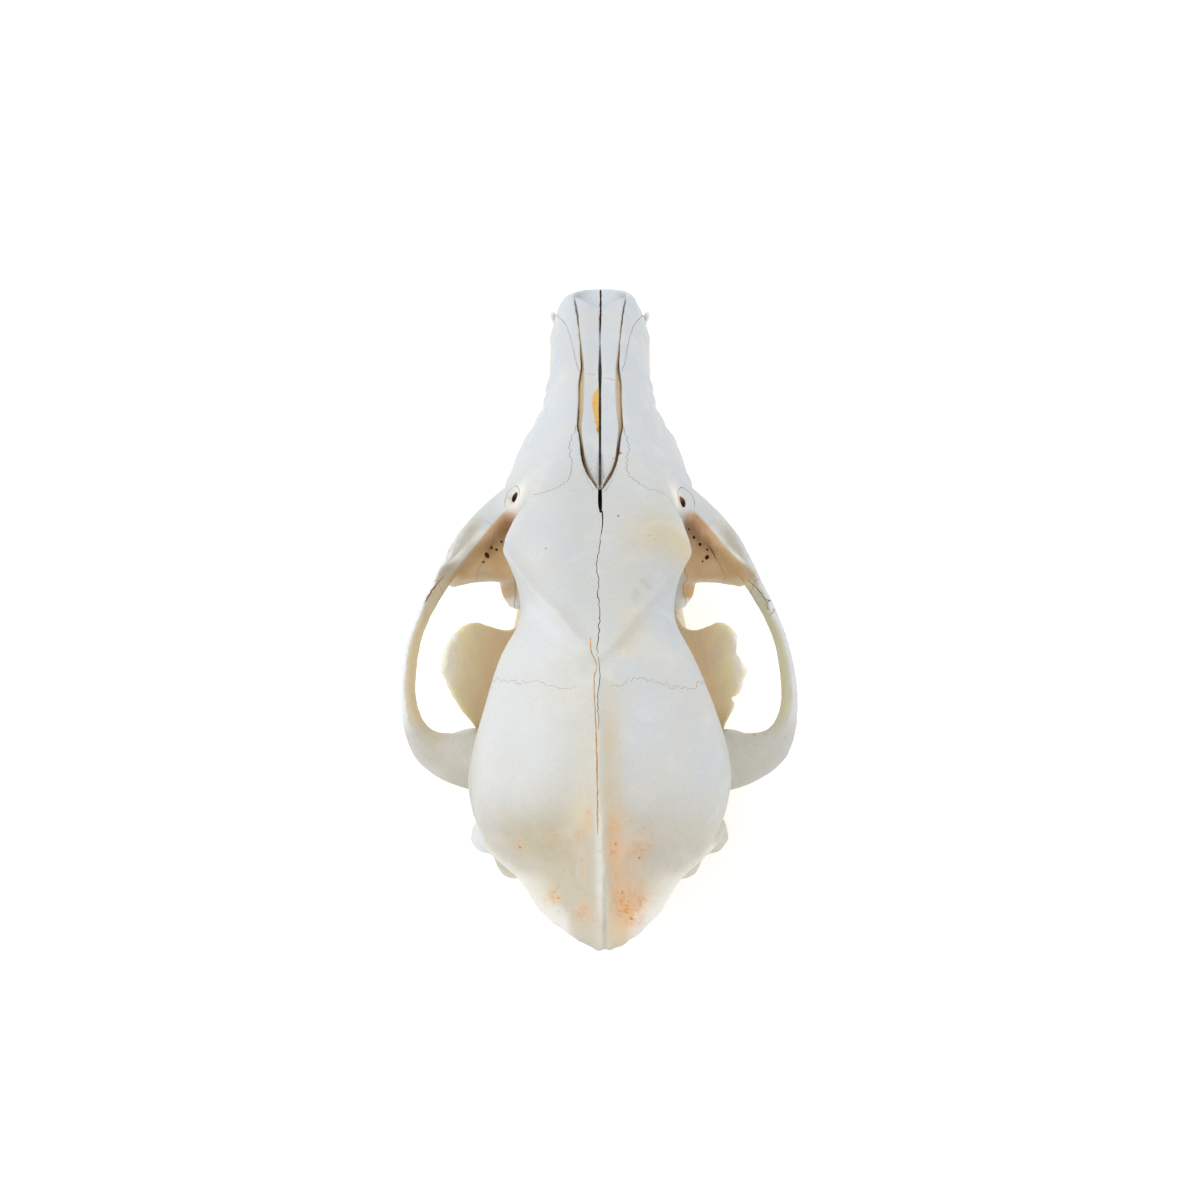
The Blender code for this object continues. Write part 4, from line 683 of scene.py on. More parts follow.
# Roots that swell the bone beside them: x, y, half-length, z of the middle
UPPER_ROOTS = [
    (15.4, 37.0, 1.6, 4.0), (15.8, 41.5, 1.6, 4.0), (17.2, 48.6, 1.8, 4.5), (19.4, 54.6, 1.8, 4.5),
    (24.6, 69.0, 2.2, 5.0), (27.4, 77.6, 2.6, 5.5),
]
LOWER_ROOTS = [
    (12.0, 30.4, 1.5, -16.0), (12.6, 34.8, 1.5, -16.0), (14.0, 42.0, 1.7, -16.5), (14.9, 47.2, 1.7, -16.5),
    (16.3, 54.2, 1.8, -16.5), (17.7, 60.0, 1.8, -16.5), (20.2, 69.5, 2.3, -16.0), (22.4, 79.0, 2.3, -15.5),
]

# Large numbers that scatter the cells of the noise
CELL_KEYS = (73856093, 19349663, 83492791)
SEED_KEY = 2654435
MIX_KEY = 1274126177

# How far each round of softening moves a point, and the weight below which it stays
SOFTENING = 0.6
LEAST_WEIGHT = 0.001

# Height from which the slit's surface is looked for, and how far beside its line
ABOVE_SKULL = 90.0
BESIDE_SLIT = 2.5


# Smooth keys along a loft
def interpolate(rows, at):
    """Values of the rows' later columns where the first column is `at`, on a smooth curve through them."""
    rows = np.array(rows, float)
    keys, values = rows[:, 0], rows[:, 1:]
    slopes = np.gradient(values, keys, axis=0)
    index = np.clip(np.searchsorted(keys, at) - 1, 0, len(keys) - 2)
    span = (keys[index + 1] - keys[index])[:, None]
    t = (np.asarray(at) - keys[index])[:, None] / span
    start, end = values[index], values[index + 1]
    return (
        (2 * t**3 - 3 * t**2 + 1) * start
        + (t**3 - 2 * t**2 + t) * span * slopes[index]
        + (3 * t**2 - 2 * t**3) * end
        + (t**3 - t**2) * span * slopes[index + 1]
    )


def held(rows, at):
    """The same, with the values of the first and last rows kept beyond them."""
    return interpolate(rows, np.clip(at, rows[0][0], rows[-1][0]))


def stations(rows, step=LOFT_STEP):
    """Evenly spaced stations from the first row's key to the last row's."""
    first, last = rows[0][0], rows[-1][0]
    return np.linspace(first, last, max(2, int(round(abs(last - first) / step)) + 1))


def along_path(rows, step):
    """The rows at even steps along the path of their first three columns, on a smooth curve."""
    rows = np.array(rows, float)
    steps = np.linalg.norm(np.diff(rows[:, :3], axis=0), axis=1)
    keyed = np.column_stack([np.concatenate([[0], np.cumsum(steps)]), rows])
    return interpolate(keyed, stations(keyed, step))


def circle(sides):
    """Angles evenly round a circle."""
    return np.arange(sides) * 2 * math.pi / sides


def ring(x, y, z):
    """Points from their coordinates, each an array or one number for all."""
    return np.column_stack(np.broadcast_arrays(x, y, z))


def closed_curve(points, sides):
    """A smooth closed ring of `sides` points through the given ones."""
    points = np.array(points, float)
    count = len(points)
    keys = np.arange(-2, count + 3)
    rows = np.column_stack([keys, points[keys % count]])
    return interpolate(rows, np.arange(sides) * count / sides)


# Closed meshes
def new_object(name, vertices, faces):
    mesh = bpy.data.meshes.new(name)
    mesh.from_pydata([tuple(map(float, v)) for v in vertices], [], faces)
    return link(name, outward(mesh))


def outward(mesh):
    """The same mesh with its faces turned to point out."""
    bm = bmesh.new()
    bm.from_mesh(mesh)
    bmesh.ops.recalc_face_normals(bm, faces=bm.faces)
    bm.to_mesh(mesh)
    bm.free()
    return mesh


def link(name, mesh):
    obj = bpy.data.objects.new(name, mesh)
    bpy.context.scene.collection.objects.link(obj)
    return obj


def from_bmesh(name, bm):
    """A linked object with the bmesh's faces. The bmesh is freed."""
    mesh = bpy.data.meshes.new(name)
    bm.to_mesh(mesh)
    bm.free()
    return link(name, mesh)


def sphere(name, place, segments, levels):
    """A UV sphere of radius 1, put in place by the matrix."""
    bm = bmesh.new()
    bmesh.ops.create_uvsphere(bm, u_segments=segments, v_segments=levels, radius=1.0)
    bmesh.ops.transform(bm, matrix=place, verts=bm.verts)
    return from_bmesh(name, bm)


def loft(name, rings):
    """A closed skin over rings that all have the same number of points."""
    sides = len(rings[0])
    faces = [list(range(sides)), [len(rings) * sides - 1 - i for i in range(sides)]]
    for r in range(len(rings) - 1):
        for i in range(sides):
            j = (i + 1) % sides
            faces.append([r * sides + i, r * sides + j, (r + 1) * sides + j, (r + 1) * sides + i])
    return new_object(name, np.concatenate(rings), faces)


def ellipsoid(name, centre, radii, turn=(0.0, 0.0, 0.0)):
    """A scaled and turned sphere. `turn` is in degrees about x, y and z."""
    angles = [math.radians(a) for a in turn]
    rotation = Matrix.Rotation(angles[2], 4, "Z") @ Matrix.Rotation(angles[1], 4, "Y")
    rotation = rotation @ Matrix.Rotation(angles[0], 4, "X")
    place = Matrix.Translation(centre) @ rotation @ Matrix.Diagonal((*radii, 1.0))
    return sphere(name, place, *BALL)


def box(name, low, high):
    """An upright box from one corner to the opposite one."""
    bm = bmesh.new()
    bmesh.ops.create_cube(bm, size=1.0)
    low, high = Vector(low), Vector(high)
    place = Matrix.Translation((low + high) / 2) @ Matrix.Diagonal((*(high - low), 1.0))
    bmesh.ops.transform(bm, matrix=place, verts=bm.verts)
    return from_bmesh(name, bm)


def level_stack(name, levels, turn=0.0, sides=SWEEP_SIDES):
    """Level ellipses stacked up. A level is: x, y, z, half-length along y, half-width along x."""
    angle = math.radians(turn)
    around = circle(sides)
    rings = []
    for x, y, z, half_length, half_width in levels:
        along, across = half_length * np.cos(around), half_width * np.sin(around)
        ring_x = x + across * math.cos(angle) + along * math.sin(angle)
        ring_y = y + along * math.cos(angle) - across * math.sin(angle)
        rings.append(ring(ring_x, ring_y, z))
    return loft(name, rings)


def sweep(name, rows, deep_of, sides=SWEEP_SIDES):
    """Ellipses swept along a path. A row is: x, y, z, half-thickness, half-depth and any more columns.
    deep_of(point, tangent, more) gives the direction of the depth."""
    values = along_path(rows, LOFT_STEP)
    tangents = np.gradient(values[:, :3], axis=0)
    around = circle(sides)
    rings = []
    for value, tangent in zip(values, tangents):
        tangent = tangent / np.linalg.norm(tangent)
        deep = np.array(deep_of(value[:3], tangent, value[5:]), float)
        deep = deep - tangent * deep.dot(tangent)
        deep = deep / np.linalg.norm(deep)
        thin = np.cross(tangent, deep)
        across = np.outer(np.cos(around) * value[3], thin)
        along = np.outer(np.sin(around) * value[4], deep)
        rings.append(value[:3] + across + along)
    return loft(name, rings)


def upward(point, tangent, more):
    return (0.0, 0.0, 1.0)


def rolled_up(point, tangent, more):
    """Straight up, rolled about the path by the row's angle, so that the lower edge stands out."""
    side = np.cross(tangent, (0.0, 0.0, 1.0))
    side = side / np.linalg.norm(side)
    roll = math.radians(more[0])
    return np.array([0.0, 0.0, math.cos(roll)]) - side * math.sin(roll)


# Modifiers
def apply_modifiers(obj):
    graph = bpy.context.evaluated_depsgraph_get()
    mesh = bpy.data.meshes.new_from_object(obj.evaluated_get(graph))
    obj.modifiers.clear()
    obj.data = mesh
    return obj


def joined(name, pieces):
    """One object that holds the pieces' shells, which may cross each other."""
    bm = bmesh.new()
    for piece in pieces:
        bm.from_mesh(piece.data)
        bpy.data.objects.remove(piece)
    return from_bmesh(name, bm)


def fused(name, pieces, voxel, smoothing):
    """The pieces as one skin: a voxel remesh, then smoothing that rounds the joins."""
    obj = joined(name, pieces)
    remesh = obj.modifiers.new("remesh", "REMESH")
    remesh.mode = "VOXEL"
    remesh.voxel_size = voxel
    smooth = obj.modifiers.new("smooth", "SMOOTH")
    smooth.factor = 0.5
    smooth.iterations = smoothing
    return apply_modifiers(obj)


def boolean(obj, others, operation="DIFFERENCE"):
    """Cuts, joins or keeps the common part with closed mesh objects, which are then removed."""
    helper = bpy.data.collections.new("helpers")
    bpy.context.scene.collection.children.link(helper)
    for other in others:
        helper.objects.link(other)
    modifier = obj.modifiers.new("boolean", "BOOLEAN")
    modifier.operation = operation
    modifier.solver = "MANIFOLD"
    modifier.operand_type = "COLLECTION"
    modifier.collection = helper
    apply_modifiers(obj)
    for other in others:
        bpy.data.objects.remove(other)
    bpy.data.collections.remove(helper)
    return obj


def copied(obj, name):
    return link(name, obj.data.copy())


def flipped(obj):
    """The object turned into its mirror image across the midline."""
    obj.data.transform(Matrix.Diagonal((-1.0, 1.0, 1.0, 1.0)))
    obj.data.flip_normals()
    return obj


def mirrored(pieces):
    """The pieces and their mirror images."""
    return pieces + [flipped(copied(piece, piece.name + "_image")) for piece in pieces]


# Fields over the surface
def rise(low, high, value):
    """0 below low, 1 above high and smooth between them, or the other way round if low is the greater."""
    t = np.clip((value - low) / (high - low), 0.0, 1.0)
    return t * t * (3 - 2 * t)


def fade(low, high, value):
    """The opposite: 1 below low and 0 above high."""
    return 1 - rise(low, high, value)


def bell(distance, width):
    """1 at no distance, and close to 0 beyond twice the width."""
    return np.exp(-((distance / width) ** 2))


def value_noise(points, size, seed):
    """Smooth noise from 0 to 1 with features about `size` mm across."""
    scaled = points / size
    cell = np.floor(scaled).astype(np.int64)
    part = scaled - cell
    part = part * part * (3 - 2 * part)
    total = np.zeros(len(points))
    for corner in range(8):
        step = np.array([(corner >> axis) & 1 for axis in range(3)])
        key = (cell + step) * np.array(CELL_KEYS) + seed * SEED_KEY
        mixed = key[:, 0] ^ key[:, 1] ^ key[:, 2]
        mixed = (mixed ^ (mixed >> 13)) * MIX_KEY & 0x7FFFFFFF
        weight = np.prod(np.where(step, part, 1 - part), axis=1)
        total += weight * ((mixed >> 7) & 0xFFFF) / 65535.0
    return total


def layered_noise(points, size, seed, layers=3):
    """Noise with finer layers added, from 0 to 1."""
    total, weights = np.zeros(len(points)), 0.0
    for layer in range(layers):
        total += value_noise(points, size / 2**layer, seed + layer) / 2**layer
        weights += 1 / 2**layer
    return total / weights


def uneven(points, size, seed, layers=3):
    """The same noise, from -0.5 to 0.5."""
    return layered_noise(points, size, seed, layers) - 0.5


def line_distance(points, line):
    """Distance from each point to a line of several segments."""
    line = np.array(line, float)
    best = np.full(len(points), 1e6)
    for start, end in zip(line[:-1], line[1:]):
        along = end - start
        t = np.clip((points - start) @ along / (along @ along), 0, 1)
        best = np.minimum(best, np.linalg.norm(points - start - t[:, None] * along, axis=1))
    return best


def near_line(points, line, width):
    """A bell round a line, worked out only for the points close to it."""
    line = np.array(line, float)
    reach = 3 * width
    near = np.all((points > line.min(axis=0) - reach) & (points < line.max(axis=0) + reach), axis=1)
    field = np.zeros(len(points))
    field[near] = bell(line_distance(points[near], line), width)
    return field


def points_of(obj):
    """The object's points and their normals, in millimetres."""
    mesh = obj.data
    points, normals = np.empty(len(mesh.vertices) * 3), np.empty(len(mesh.vertices) * 3)
    mesh.vertices.foreach_get("co", points)
    mesh.vertices.foreach_get("normal", normals)
    return points.reshape(-1, 3), normals.reshape(-1, 3)


def bent(obj):
    """The bone with the skull's slight bend, and its paroccipital processes drawn in."""
    points, _ = points_of(obj)
    middle, sides = held(BEND, points[:, 1]).T
    share = np.clip((np.abs(points[:, 0]) - 10.0) / 20.0, 0.0, 1.0)
    points[:, 0] += middle + (sides - middle) * share
    x, y, z = points.T
    process = rise(174, 178, y) * rise(12, 4, z) * rise(14, 19, np.abs(x))
    points[:, 0] -= PROCESS_DRAWN_IN * process * np.sign(x)
    place_points(obj, points)
    return obj


def edges_of(mesh):
    """The two ends of each edge."""
    edges = np.empty(len(mesh.edges) * 2, np.int32)
    mesh.edges.foreach_get("vertices", edges)
    return edges.reshape(-1, 2)


def softened(obj, weight, rounds):
    """The points drawn towards their neighbours, each by its own weight."""
    edges = edges_of(obj.data)
    edges = edges[(weight[edges] > LEAST_WEIGHT).any(axis=1)]
    points, _ = points_of(obj)
    count = np.maximum(1, np.bincount(edges.ravel(), minlength=len(points)))[:, None]
    for _ in range(rounds):
        total = np.zeros_like(points)
        for axis in range(3):
            total[:, axis] += np.bincount(edges[:, 0], points[edges[:, 1], axis], len(points))
            total[:, axis] += np.bincount(edges[:, 1], points[edges[:, 0], axis], len(points))
        points += (total / count - points) * (SOFTENING * weight[:, None]) * (total[:, :1] != 0)
    place_points(obj, points)


def place_points(obj, points):
    obj.data.vertices.foreach_set("co", points.astype(np.float32).ravel())
    obj.data.update()


# Cracks and holes
def surface_of(obj):
    """The object's surface, ready to be searched for the nearest place on it."""
    mesh = obj.data
    points, _ = points_of(obj)
    mesh.calc_loop_triangles()
    faces = np.empty(len(mesh.loop_triangles) * 3, np.int32)
    mesh.loop_triangles.foreach_get("vertices", faces)
    return BVHTree.FromPolygons(points.tolist(), faces.reshape(-1, 3).tolist())


def on_surface(surface, point):
    place, normal, _, _ = surface.find_nearest(Vector(point))
    return np.array(place), np.array(normal)


def with_slots(obj):
    for _ in range(BROWN + 1):
        obj.data.materials.append(None)
    return obj


def marked(obj, slot=DARK):
    """The cutter with all its faces in one slot, so that what it cuts shows that seam's colour."""
    with_slots(obj)
    obj.data.polygons.foreach_set("material_index", [slot] * len(obj.data.polygons))
    return obj


def crack(surface, name, slot, width, depth, sway, line, draw):
    """A thin wedge that follows a wavering line over the surface."""
    points = along_path(line, CRACK_STEP)
    points += draw.normal(0, sway, points.shape)
    placed = [on_surface(surface, point) for point in points]
    places = np.array([place for place, _ in placed])
    normals = np.array([normal for _, normal in placed])
    for _ in range(3):
        normals[1:-1] = (normals[:-2] + 2 * normals[1:-1] + normals[2:]) / 4
    tangents = np.gradient(places, axis=0)
    rings = []
    for i, (place, normal, tangent) in enumerate(zip(places, normals, tangents)):
        normal = normal / np.linalg.norm(normal)
        side = np.cross(tangent, normal)
        side /= np.linalg.norm(side)
        ends = min(i, len(places) - 1 - i) / 3
        swell = 0.35 + 0.65 * min(1.0, ends)
        half = width / 2 * swell * draw.uniform(0.75, 1.25)
        over, under = normal * 0.5, -normal * depth * swell
        rings.append(np.array([
            place + over - side * half * 1.3, place + over + side * half * 1.3,
            place + under + side * half * 0.6, place + under - side * half * 0.6,
        ]))
    return marked(loft(name, rings), slot)


def trench(surface, name, rows):
    """An upright cut that follows the midline. A row is: y, x, half-width, depth."""
    at = np.arange(rows[0][0], rows[-1][0] + 0.01, TRENCH_STEP)
    rings = []
    for y, (x, half, depth) in zip(at, interpolate(rows, at)):
        start = Vector((x + BESIDE_SLIT, y, ABOVE_SKULL))
        top = surface.ray_cast(start, Vector((0.0, 0.0, -1.0)))[0].z
        rings.append(np.array([
            (x - half, y, top + 1.0), (x + half, y, top + 1.0),
            (x + half * 0.7, y, top - depth), (x - half * 0.7, y, top - depth),
        ]))
    return marked(loft(name, rings))


def pit(surface, row, slot=DARK):
    """A small oval hole square to the surface."""
    place, normal = on_surface(surface, row[:3])
    turn = Vector(normal).to_track_quat("Z", "Y").to_matrix().to_4x4()
    place = Matrix.Translation(place) @ turn @ Matrix.Diagonal((*row[3:6], 1.0))
    return marked(sphere("pit", place, *PIT), slot)


def both_sides(rows):
    return rows + [(-row[0], *row[1:]) for row in rows]


def other_side(line):
    return [(-x, y, z) for x, y, z in line]


def bar(name, at, inner, outer, low, high):
    """A bar along y whose sides, floor and top are given at each station."""
    columns = np.broadcast_arrays(at, inner, outer, low, high)
    rings = []
    for y, left, right, floor, top in zip(*columns):
        rings.append(np.array([(left, y, floor), (right, y, floor), (right, y, top), (left, y, top)]))
    return loft(name, rings)


# Upper skull
def both_halves(half):
    """A closed outline from the half that runs from the top of the midline to its foot."""
    return half + [(-x, z) for x, z in half[-2:0:-1]]


def face_ring(y, values):
    top, shoulder, middle, socket, palate = values
    half = [
        (0.0, top),
        (shoulder * 0.62, top - 0.35),
        (shoulder, top - 2.0),
        (middle, top * 0.52 + 1.5),
        (socket, 4.5),
        (socket - 0.9, 0.4),
        (socket - 4.5, 1.4),
        (socket * 0.4, palate),
        (0.0, palate),
    ]
    x, z = closed_curve(both_halves(half), RING_SIDES).T
    return ring(x, y, z)


def vault_ring(y, values):
    """A rounded ring. A power of 2 gives an ellipse, a higher one a fuller corner."""
    width, widest, top, bottom, upper_power, lower_power = values
    c, s = np.cos(circle(RING_SIDES)), np.sin(circle(RING_SIDES))
    power = np.where(s >= 0, upper_power, lower_power)
    height = np.where(s >= 0, top - widest, widest - bottom)
    x = width * np.sign(c) * np.abs(c) ** (2 / power)
    z = widest + height * np.sign(s) * np.abs(s) ** (2 / power)
    return ring(x, y, z)


def box_ring(y, half_width, top, bottom, power):
    return vault_ring(y, (half_width, (top + bottom) / 2, top, bottom, power, power))


def upright(section, y):
    return np.array([(x, y, z) for x, z in section])


def shelf_ring(y, values):
    rim_x, rim_z, top, bottom = values
    half = [
        (0.0, top),
        (rim_x * 0.3, top - (top - rim_z) * 0.30),
        (rim_x * 0.7, rim_z + (top - rim_z) * 0.34),
        (rim_x - 0.2, rim_z + 0.9),
        (rim_x, rim_z - 0.4),
        (rim_x * 0.72, rim_z - 1.6 + (bottom - rim_z) * 0.42),
        (rim_x * 0.34, bottom + (rim_z - bottom) * 0.1),
        (0.0, bottom),
    ]
    return upright(both_halves(half), y)


def keyed_loft(name, rows, ring_of):
    """A skin over the rings that ring_of(key, values) gives at even steps of the rows' first column."""
    at = stations(rows)
    return loft(name, [ring_of(y, value) for y, value in zip(at, interpolate(rows, at))])


def box_loft(name, rows, power):
    """A rounded bar along y. A row is: y, half-width, top z, bottom z."""
    return keyed_loft(name, rows, lambda y, values: box_ring(y, *values, power))


def face():
    """The face and the floors of the orbits, with the arches grown from them."""
    front = keyed_loft("face", FACE, face_ring)
    shelf = keyed_loft("shelf", SHELF, lambda y, values: box_ring(y, *values, SHELF_BOTTOM, 3.0))
    arch = sweep("arch", ARCH, rolled_up)
    post = ellipsoid("arch_post", (40.4, 103.6, 23.0), (1.9, 4.6, 3.2), (0.0, -20.0, -30.0))
    jugum = sweep("jugum", [
        (12.5, 18.4, 3.0, 2.9, 3.6), (11.8, 24.4, 9.0, 2.6, 3.2), (10.6, 31.0, 14.0, 1.4, 2.0)
    ], lambda point, tangent, more: (1.0, 0.0, 0.0))
    floor = loft("orbit_floor", [ring(*np.array(ORBIT_FLOOR).T, z) for z in ORBIT_FLOOR_LEVELS])
    return [front, shelf] + mirrored([arch, post, jugum, floor])


def braincase():
    """The vault and the narrow wall below it."""
    vault = keyed_loft("vault", VAULT, vault_ring)
    keel = box_loft("keel", KEEL, 2.6)
    return [vault, keel]


def occiput():
    """The bones round the foramen magnum, the ear and the jaw joint."""
    back = ellipsoid("occiput", (0.0, 172.0, 31.0), (25.0, 12.6, 17.0))
    condyle = ellipsoid("condyle", (10.6, 183.8, 17.0), (6.0, 7.2, 7.6), (-20.0, 0.0, 24.0))
    bulla = ellipsoid("bulla", (17.2, 158.0, 13.8), (8.6, 12.4, 9.0), (0.0, 0.0, -14.0))
    ear = sweep("ear_tube", [(20.0, 160.0, 17.5, 4.4, 4.4), (28.8, 161.6, 18.4, 4.0, 4.2)], upward)
    mastoid = level_stack("mastoid", [
        (28.4, 172.0, 9.0, 1.6, 1.6), (28.4, 171.8, 12.0, 3.2, 3.0), (28.2, 171.4, 17.0, 4.5, 3.9),
        (27.8, 171.0, 23.0, 4.2, 3.6), (26.6, 171.0, 28.0, 3.0, 2.6)
    ])
    jugular = level_stack("jugular", [
        (22.6, 180.0, 4.0, 1.3, 1.7), (22.4, 179.6, 6.8, 2.0, 2.5), (21.7, 178.0, 12.0, 3.1, 3.9),
        (20.6, 175.8, 19.0, 4.4, 5.4)
    ])
    joint = ellipsoid("joint_roof", (33.2, 149.8, 10.4), (9.6, 7.0, 6.2))
    behind_joint = level_stack("behind_joint", [
        (32.6, 153.6, -0.8, 1.1, 4.4), (33.0, 153.9, 3.0, 1.9, 6.2), (33.2, 153.4, 9.0, 3.4, 8.0)
    ])
    return [back] + mirrored([condyle, bulla, ear, mastoid, jugular, joint, behind_joint])


def slope_ring(y, values):
    top, half, foot, foot_z = values
    wide, fall = foot - half, top - foot_z
    section = [
        (0.0, top - 0.4), (half, top - 0.9), (half + wide * 0.14, top - fall * 0.34),
        (half + wide * 0.46, top - fall * 0.7), (foot, foot_z), (foot * 0.5, foot_z - 4),
    ]
    return upright(section + [(-x, z) for x, z in section[:0:-1]], y)


def crest_slopes():
    """The slopes that rise from the vault to the crests."""
    shelf = keyed_loft("nuchal_shelf", NUCHAL_SHELF, shelf_ring)
    return [shelf, keyed_loft("sagittal", CREST, slope_ring)]


def into_vault(point):
    """The direction in which the nuchal crest runs in from its rim."""
    inward = np.array((-point[0], 162.0 - point[1], -4.0))
    return inward / np.linalg.norm(inward)


def rim_row(row):
    """The row moved in from the rim by most of its half-depth."""
    point = np.array(row[:3]) + into_vault(row[:3]) * (row[4] - 0.4)
    return (*point, *row[3:])


def edge_ring(y, values):
    """A section of the sagittal crest's sharp edge."""
    top, half = values[:2]
    around, deep = circle(CREST_EDGE_SIDES), CREST_EDGE_DEPTH / 2
    return ring(half * np.cos(around), y, top - deep + deep * np.sin(around))


def crests():
    """The sharp edges of the sagittal and nuchal crests."""
    rows = [rim_row(row) for row in NUCHAL_RIM]
    rim = sweep("nuchal_rim", rows, lambda point, tangent, more: into_vault(point))
    return mirrored([rim]) + [keyed_loft("sagittal_edge", CREST, edge_ring)]


def palate_wings():
    """The thin walls beside the inner nostrils, each ending in a hook."""
    return mirrored([level_stack("wing", [
        (9.2, 120.4, 0.0, 1.2, 0.8), (9.2, 118.6, 3.0, 3.2, 1.0), (9.4, 112.5, 6.0, 9.5, 1.1),
        (9.4, 110.0, 10.0, 14.0, 1.3), (9.0, 110.0, 16.0, 16.0, 2.4)
    ])])


def round_cutters():
    """The orbits, the jaw sockets and the inner nostrils, whose edges are soft."""
    orbit = ellipsoid("orbit", (27.4, 106.0, 27.0), (12.4, 22.5, 12.8), (0.0, 0.0, -45.0))
    socket = sweep("glenoid", [(22.0, 147.4, 1.4, 3.9, 3.9), (46.0, 146.8, 1.4, 3.9, 3.9)], upward)
    choana = box_loft("choana", [
        (98.0, 6.6, 11.0, -4.0), (110.0, 7.2, 12.5, -4.0), (128.0, 7.0, 12.5, -4.0)
    ], 3.0)
    return mirrored([orbit, socket]) + [choana]


def sharp_cutters():
    """The nose, the foramen magnum, the ears and the infraorbital canals."""
    nose = box_loft("nose", [
        (-3.0, 6.4, 24.0, 5.0), (4.0, 7.3, 24.0, 5.2), (12.0, 7.8, 21.4, 5.8), (22.0, 7.2, 20.4, 6.8),
        (34.0, 6.2, 21.6, 8.0), (46.0, 5.0, 22.4, 10.0)
    ], 2.3)
    outline = np.array([(8.0, -4.0), (8.0, 15.0), (0.0, NASAL_NOTCH), (-8.0, 15.0), (-8.0, -4.0)])
    notch = loft("notch", [ring(*outline.T, z) for z in (17.0, 30.0)])
    magnum = box_loft("magnum", [
        (168.0, 7.6, 27.0, 18.0), (182.0, 8.8, 29.4, 16.0), (200.0, 10.2, 31.0, 14.0)
    ], 2.2)
    ear = ellipsoid("ear_hole", (30.0, 161.8, 18.6), (5.4, 2.7, 2.9))
    canal = ellipsoid("canal", (18.0, 66.5, 11.6), (1.7, 7.6, 3.1), (0.0, 0.0, -10.0))
    return [nose, notch, magnum] + mirrored([ear, canal])


# Loose parts
def shells(obj):
    """The object's closed surfaces as objects, the largest first. Chips are dropped."""
    mesh = obj.data
    first, second = edges_of(mesh).T
    label = np.arange(len(mesh.vertices))
    while True:
        low = np.minimum(label[first], label[second])
        new = label.copy()
        np.minimum.at(new, first, low)
        np.minimum.at(new, second, low)
        new = new[new]
        np.minimum.at(new, label, new)
        new = new[new]
        if np.array_equal(new, label):
            break
        label = new
    roots, counts = np.unique(label, return_counts=True)
    parts = []
    for root in roots[counts > SMALLEST_SHELL]:
        bm = bmesh.new()
        bm.from_mesh(mesh)
        away = np.flatnonzero(label != root)
        bm.verts.ensure_lookup_table()
        bmesh.ops.delete(bm, geom=[bm.verts[i] for i in away], context="VERTS")
        part = bpy.data.meshes.new(obj.name)
        bm.to_mesh(part)
        parts.append((bm.calc_volume(), part))
        bm.free()
    bpy.data.objects.remove(obj)
    parts.sort(key=lambda part: -part[0])
    return [link("part", part) for volume, part in parts if volume > SMALLEST_VOLUME]


def largest(obj, name):
    """The largest closed surface alone."""
    parts = shells(obj)
    for part in parts[1:]:
        bpy.data.objects.remove(part)
    parts[0].name = name
    return parts[0]


def centre_of(obj):
    """The middle of the object's box."""
    points, _ = points_of(obj)
    return (points.min(axis=0) + points.max(axis=0)) / 2


# Upper skull as one piece of bone
def skull_body():
    """The upper skull before its seams are cut."""
    base = fused("skull", [*face(), *braincase(), *occiput(), *crest_slopes()], SOFT_VOXEL, smoothing=13)
    boolean(base, round_cutters())
    body = fused("skull", [base, *crests(), *palate_wings()], VOXEL, smoothing=6)
    return boolean(body, sharp_cutters())


def nasal_bone(body, side):
    """One nasal bone, cut out of the body and with its edges rounded."""
    at = np.arange(8.0, 86.05, NASAL_STEP)
    rows = interpolate(NASAL_BONES, at)
    inner = interpolate(MIDLINE_GAP, at)[:, 0]
    outer = np.maximum(rows[:, 0], inner + 0.3)
    edge = np.maximum(rows[:, 1] - 0.12, outer)
    rings = []
    for y, near, far, foot, top in zip(at, inner, outer, edge, rows[:, 2]):
        section = [
            (near, top - 2.6), (foot, top - 2.6), (foot, top - 1.8),
            (far, top - 0.55), (far, top + 6.0), (near, top + 6.0),
        ]
        rings.append(upright(section, y))
    cutter = loft("bar", rings)
    if side == "right":
        cutter = flipped(cutter)
    bone = boolean(copied(body, "nasal"), [cutter], "INTERSECT")
    return fused(f"nasal_{side}", [largest(bone, "nasal")], NASAL_VOXEL, smoothing=2)


def scroll(x, z, radius):
    """One thin rolled bone inside the nose, which opens up towards the back."""
    share = np.linspace(0.0, 1.0, SCROLL_POINTS)
    angle, reach = 0.8 + 5.0 * share, radius * (1.0 - 0.62 * share)
    rings = []
    for y in np.arange(24.0, 46.5, SCROLL_STEP):
        grow = 0.4 + 0.6 * rise(23.0, 31.0, y)
        wall = [(x + grow * r * np.cos(angle), z + grow * r * np.sin(angle)) for r in (reach, reach - 0.3)]
        outline = np.concatenate([np.column_stack(wall[0]), np.column_stack(wall[1])[::-1]])
        rings.append(ring(outline[:, 0], y, outline[:, 1] + 0.07 * (y - 24.0)))
    return loft("scroll", rings)


def nose_bones():
    """The plate down the middle of the nose and the rolled bones on each side of it."""
    at = np.arange(28.0, 46.5, SCROLL_STEP)
    plate = bar("plate", at, -0.25, 0.25, 7.0 + 0.14 * (at - 28.0), 13.0 + 0.1 * (at - 28.0))
    return joined("nose_bones", [plate] + mirrored([scroll(2.9, 11.0, 2.4), scroll(2.8, 16.2, 2.1)]))


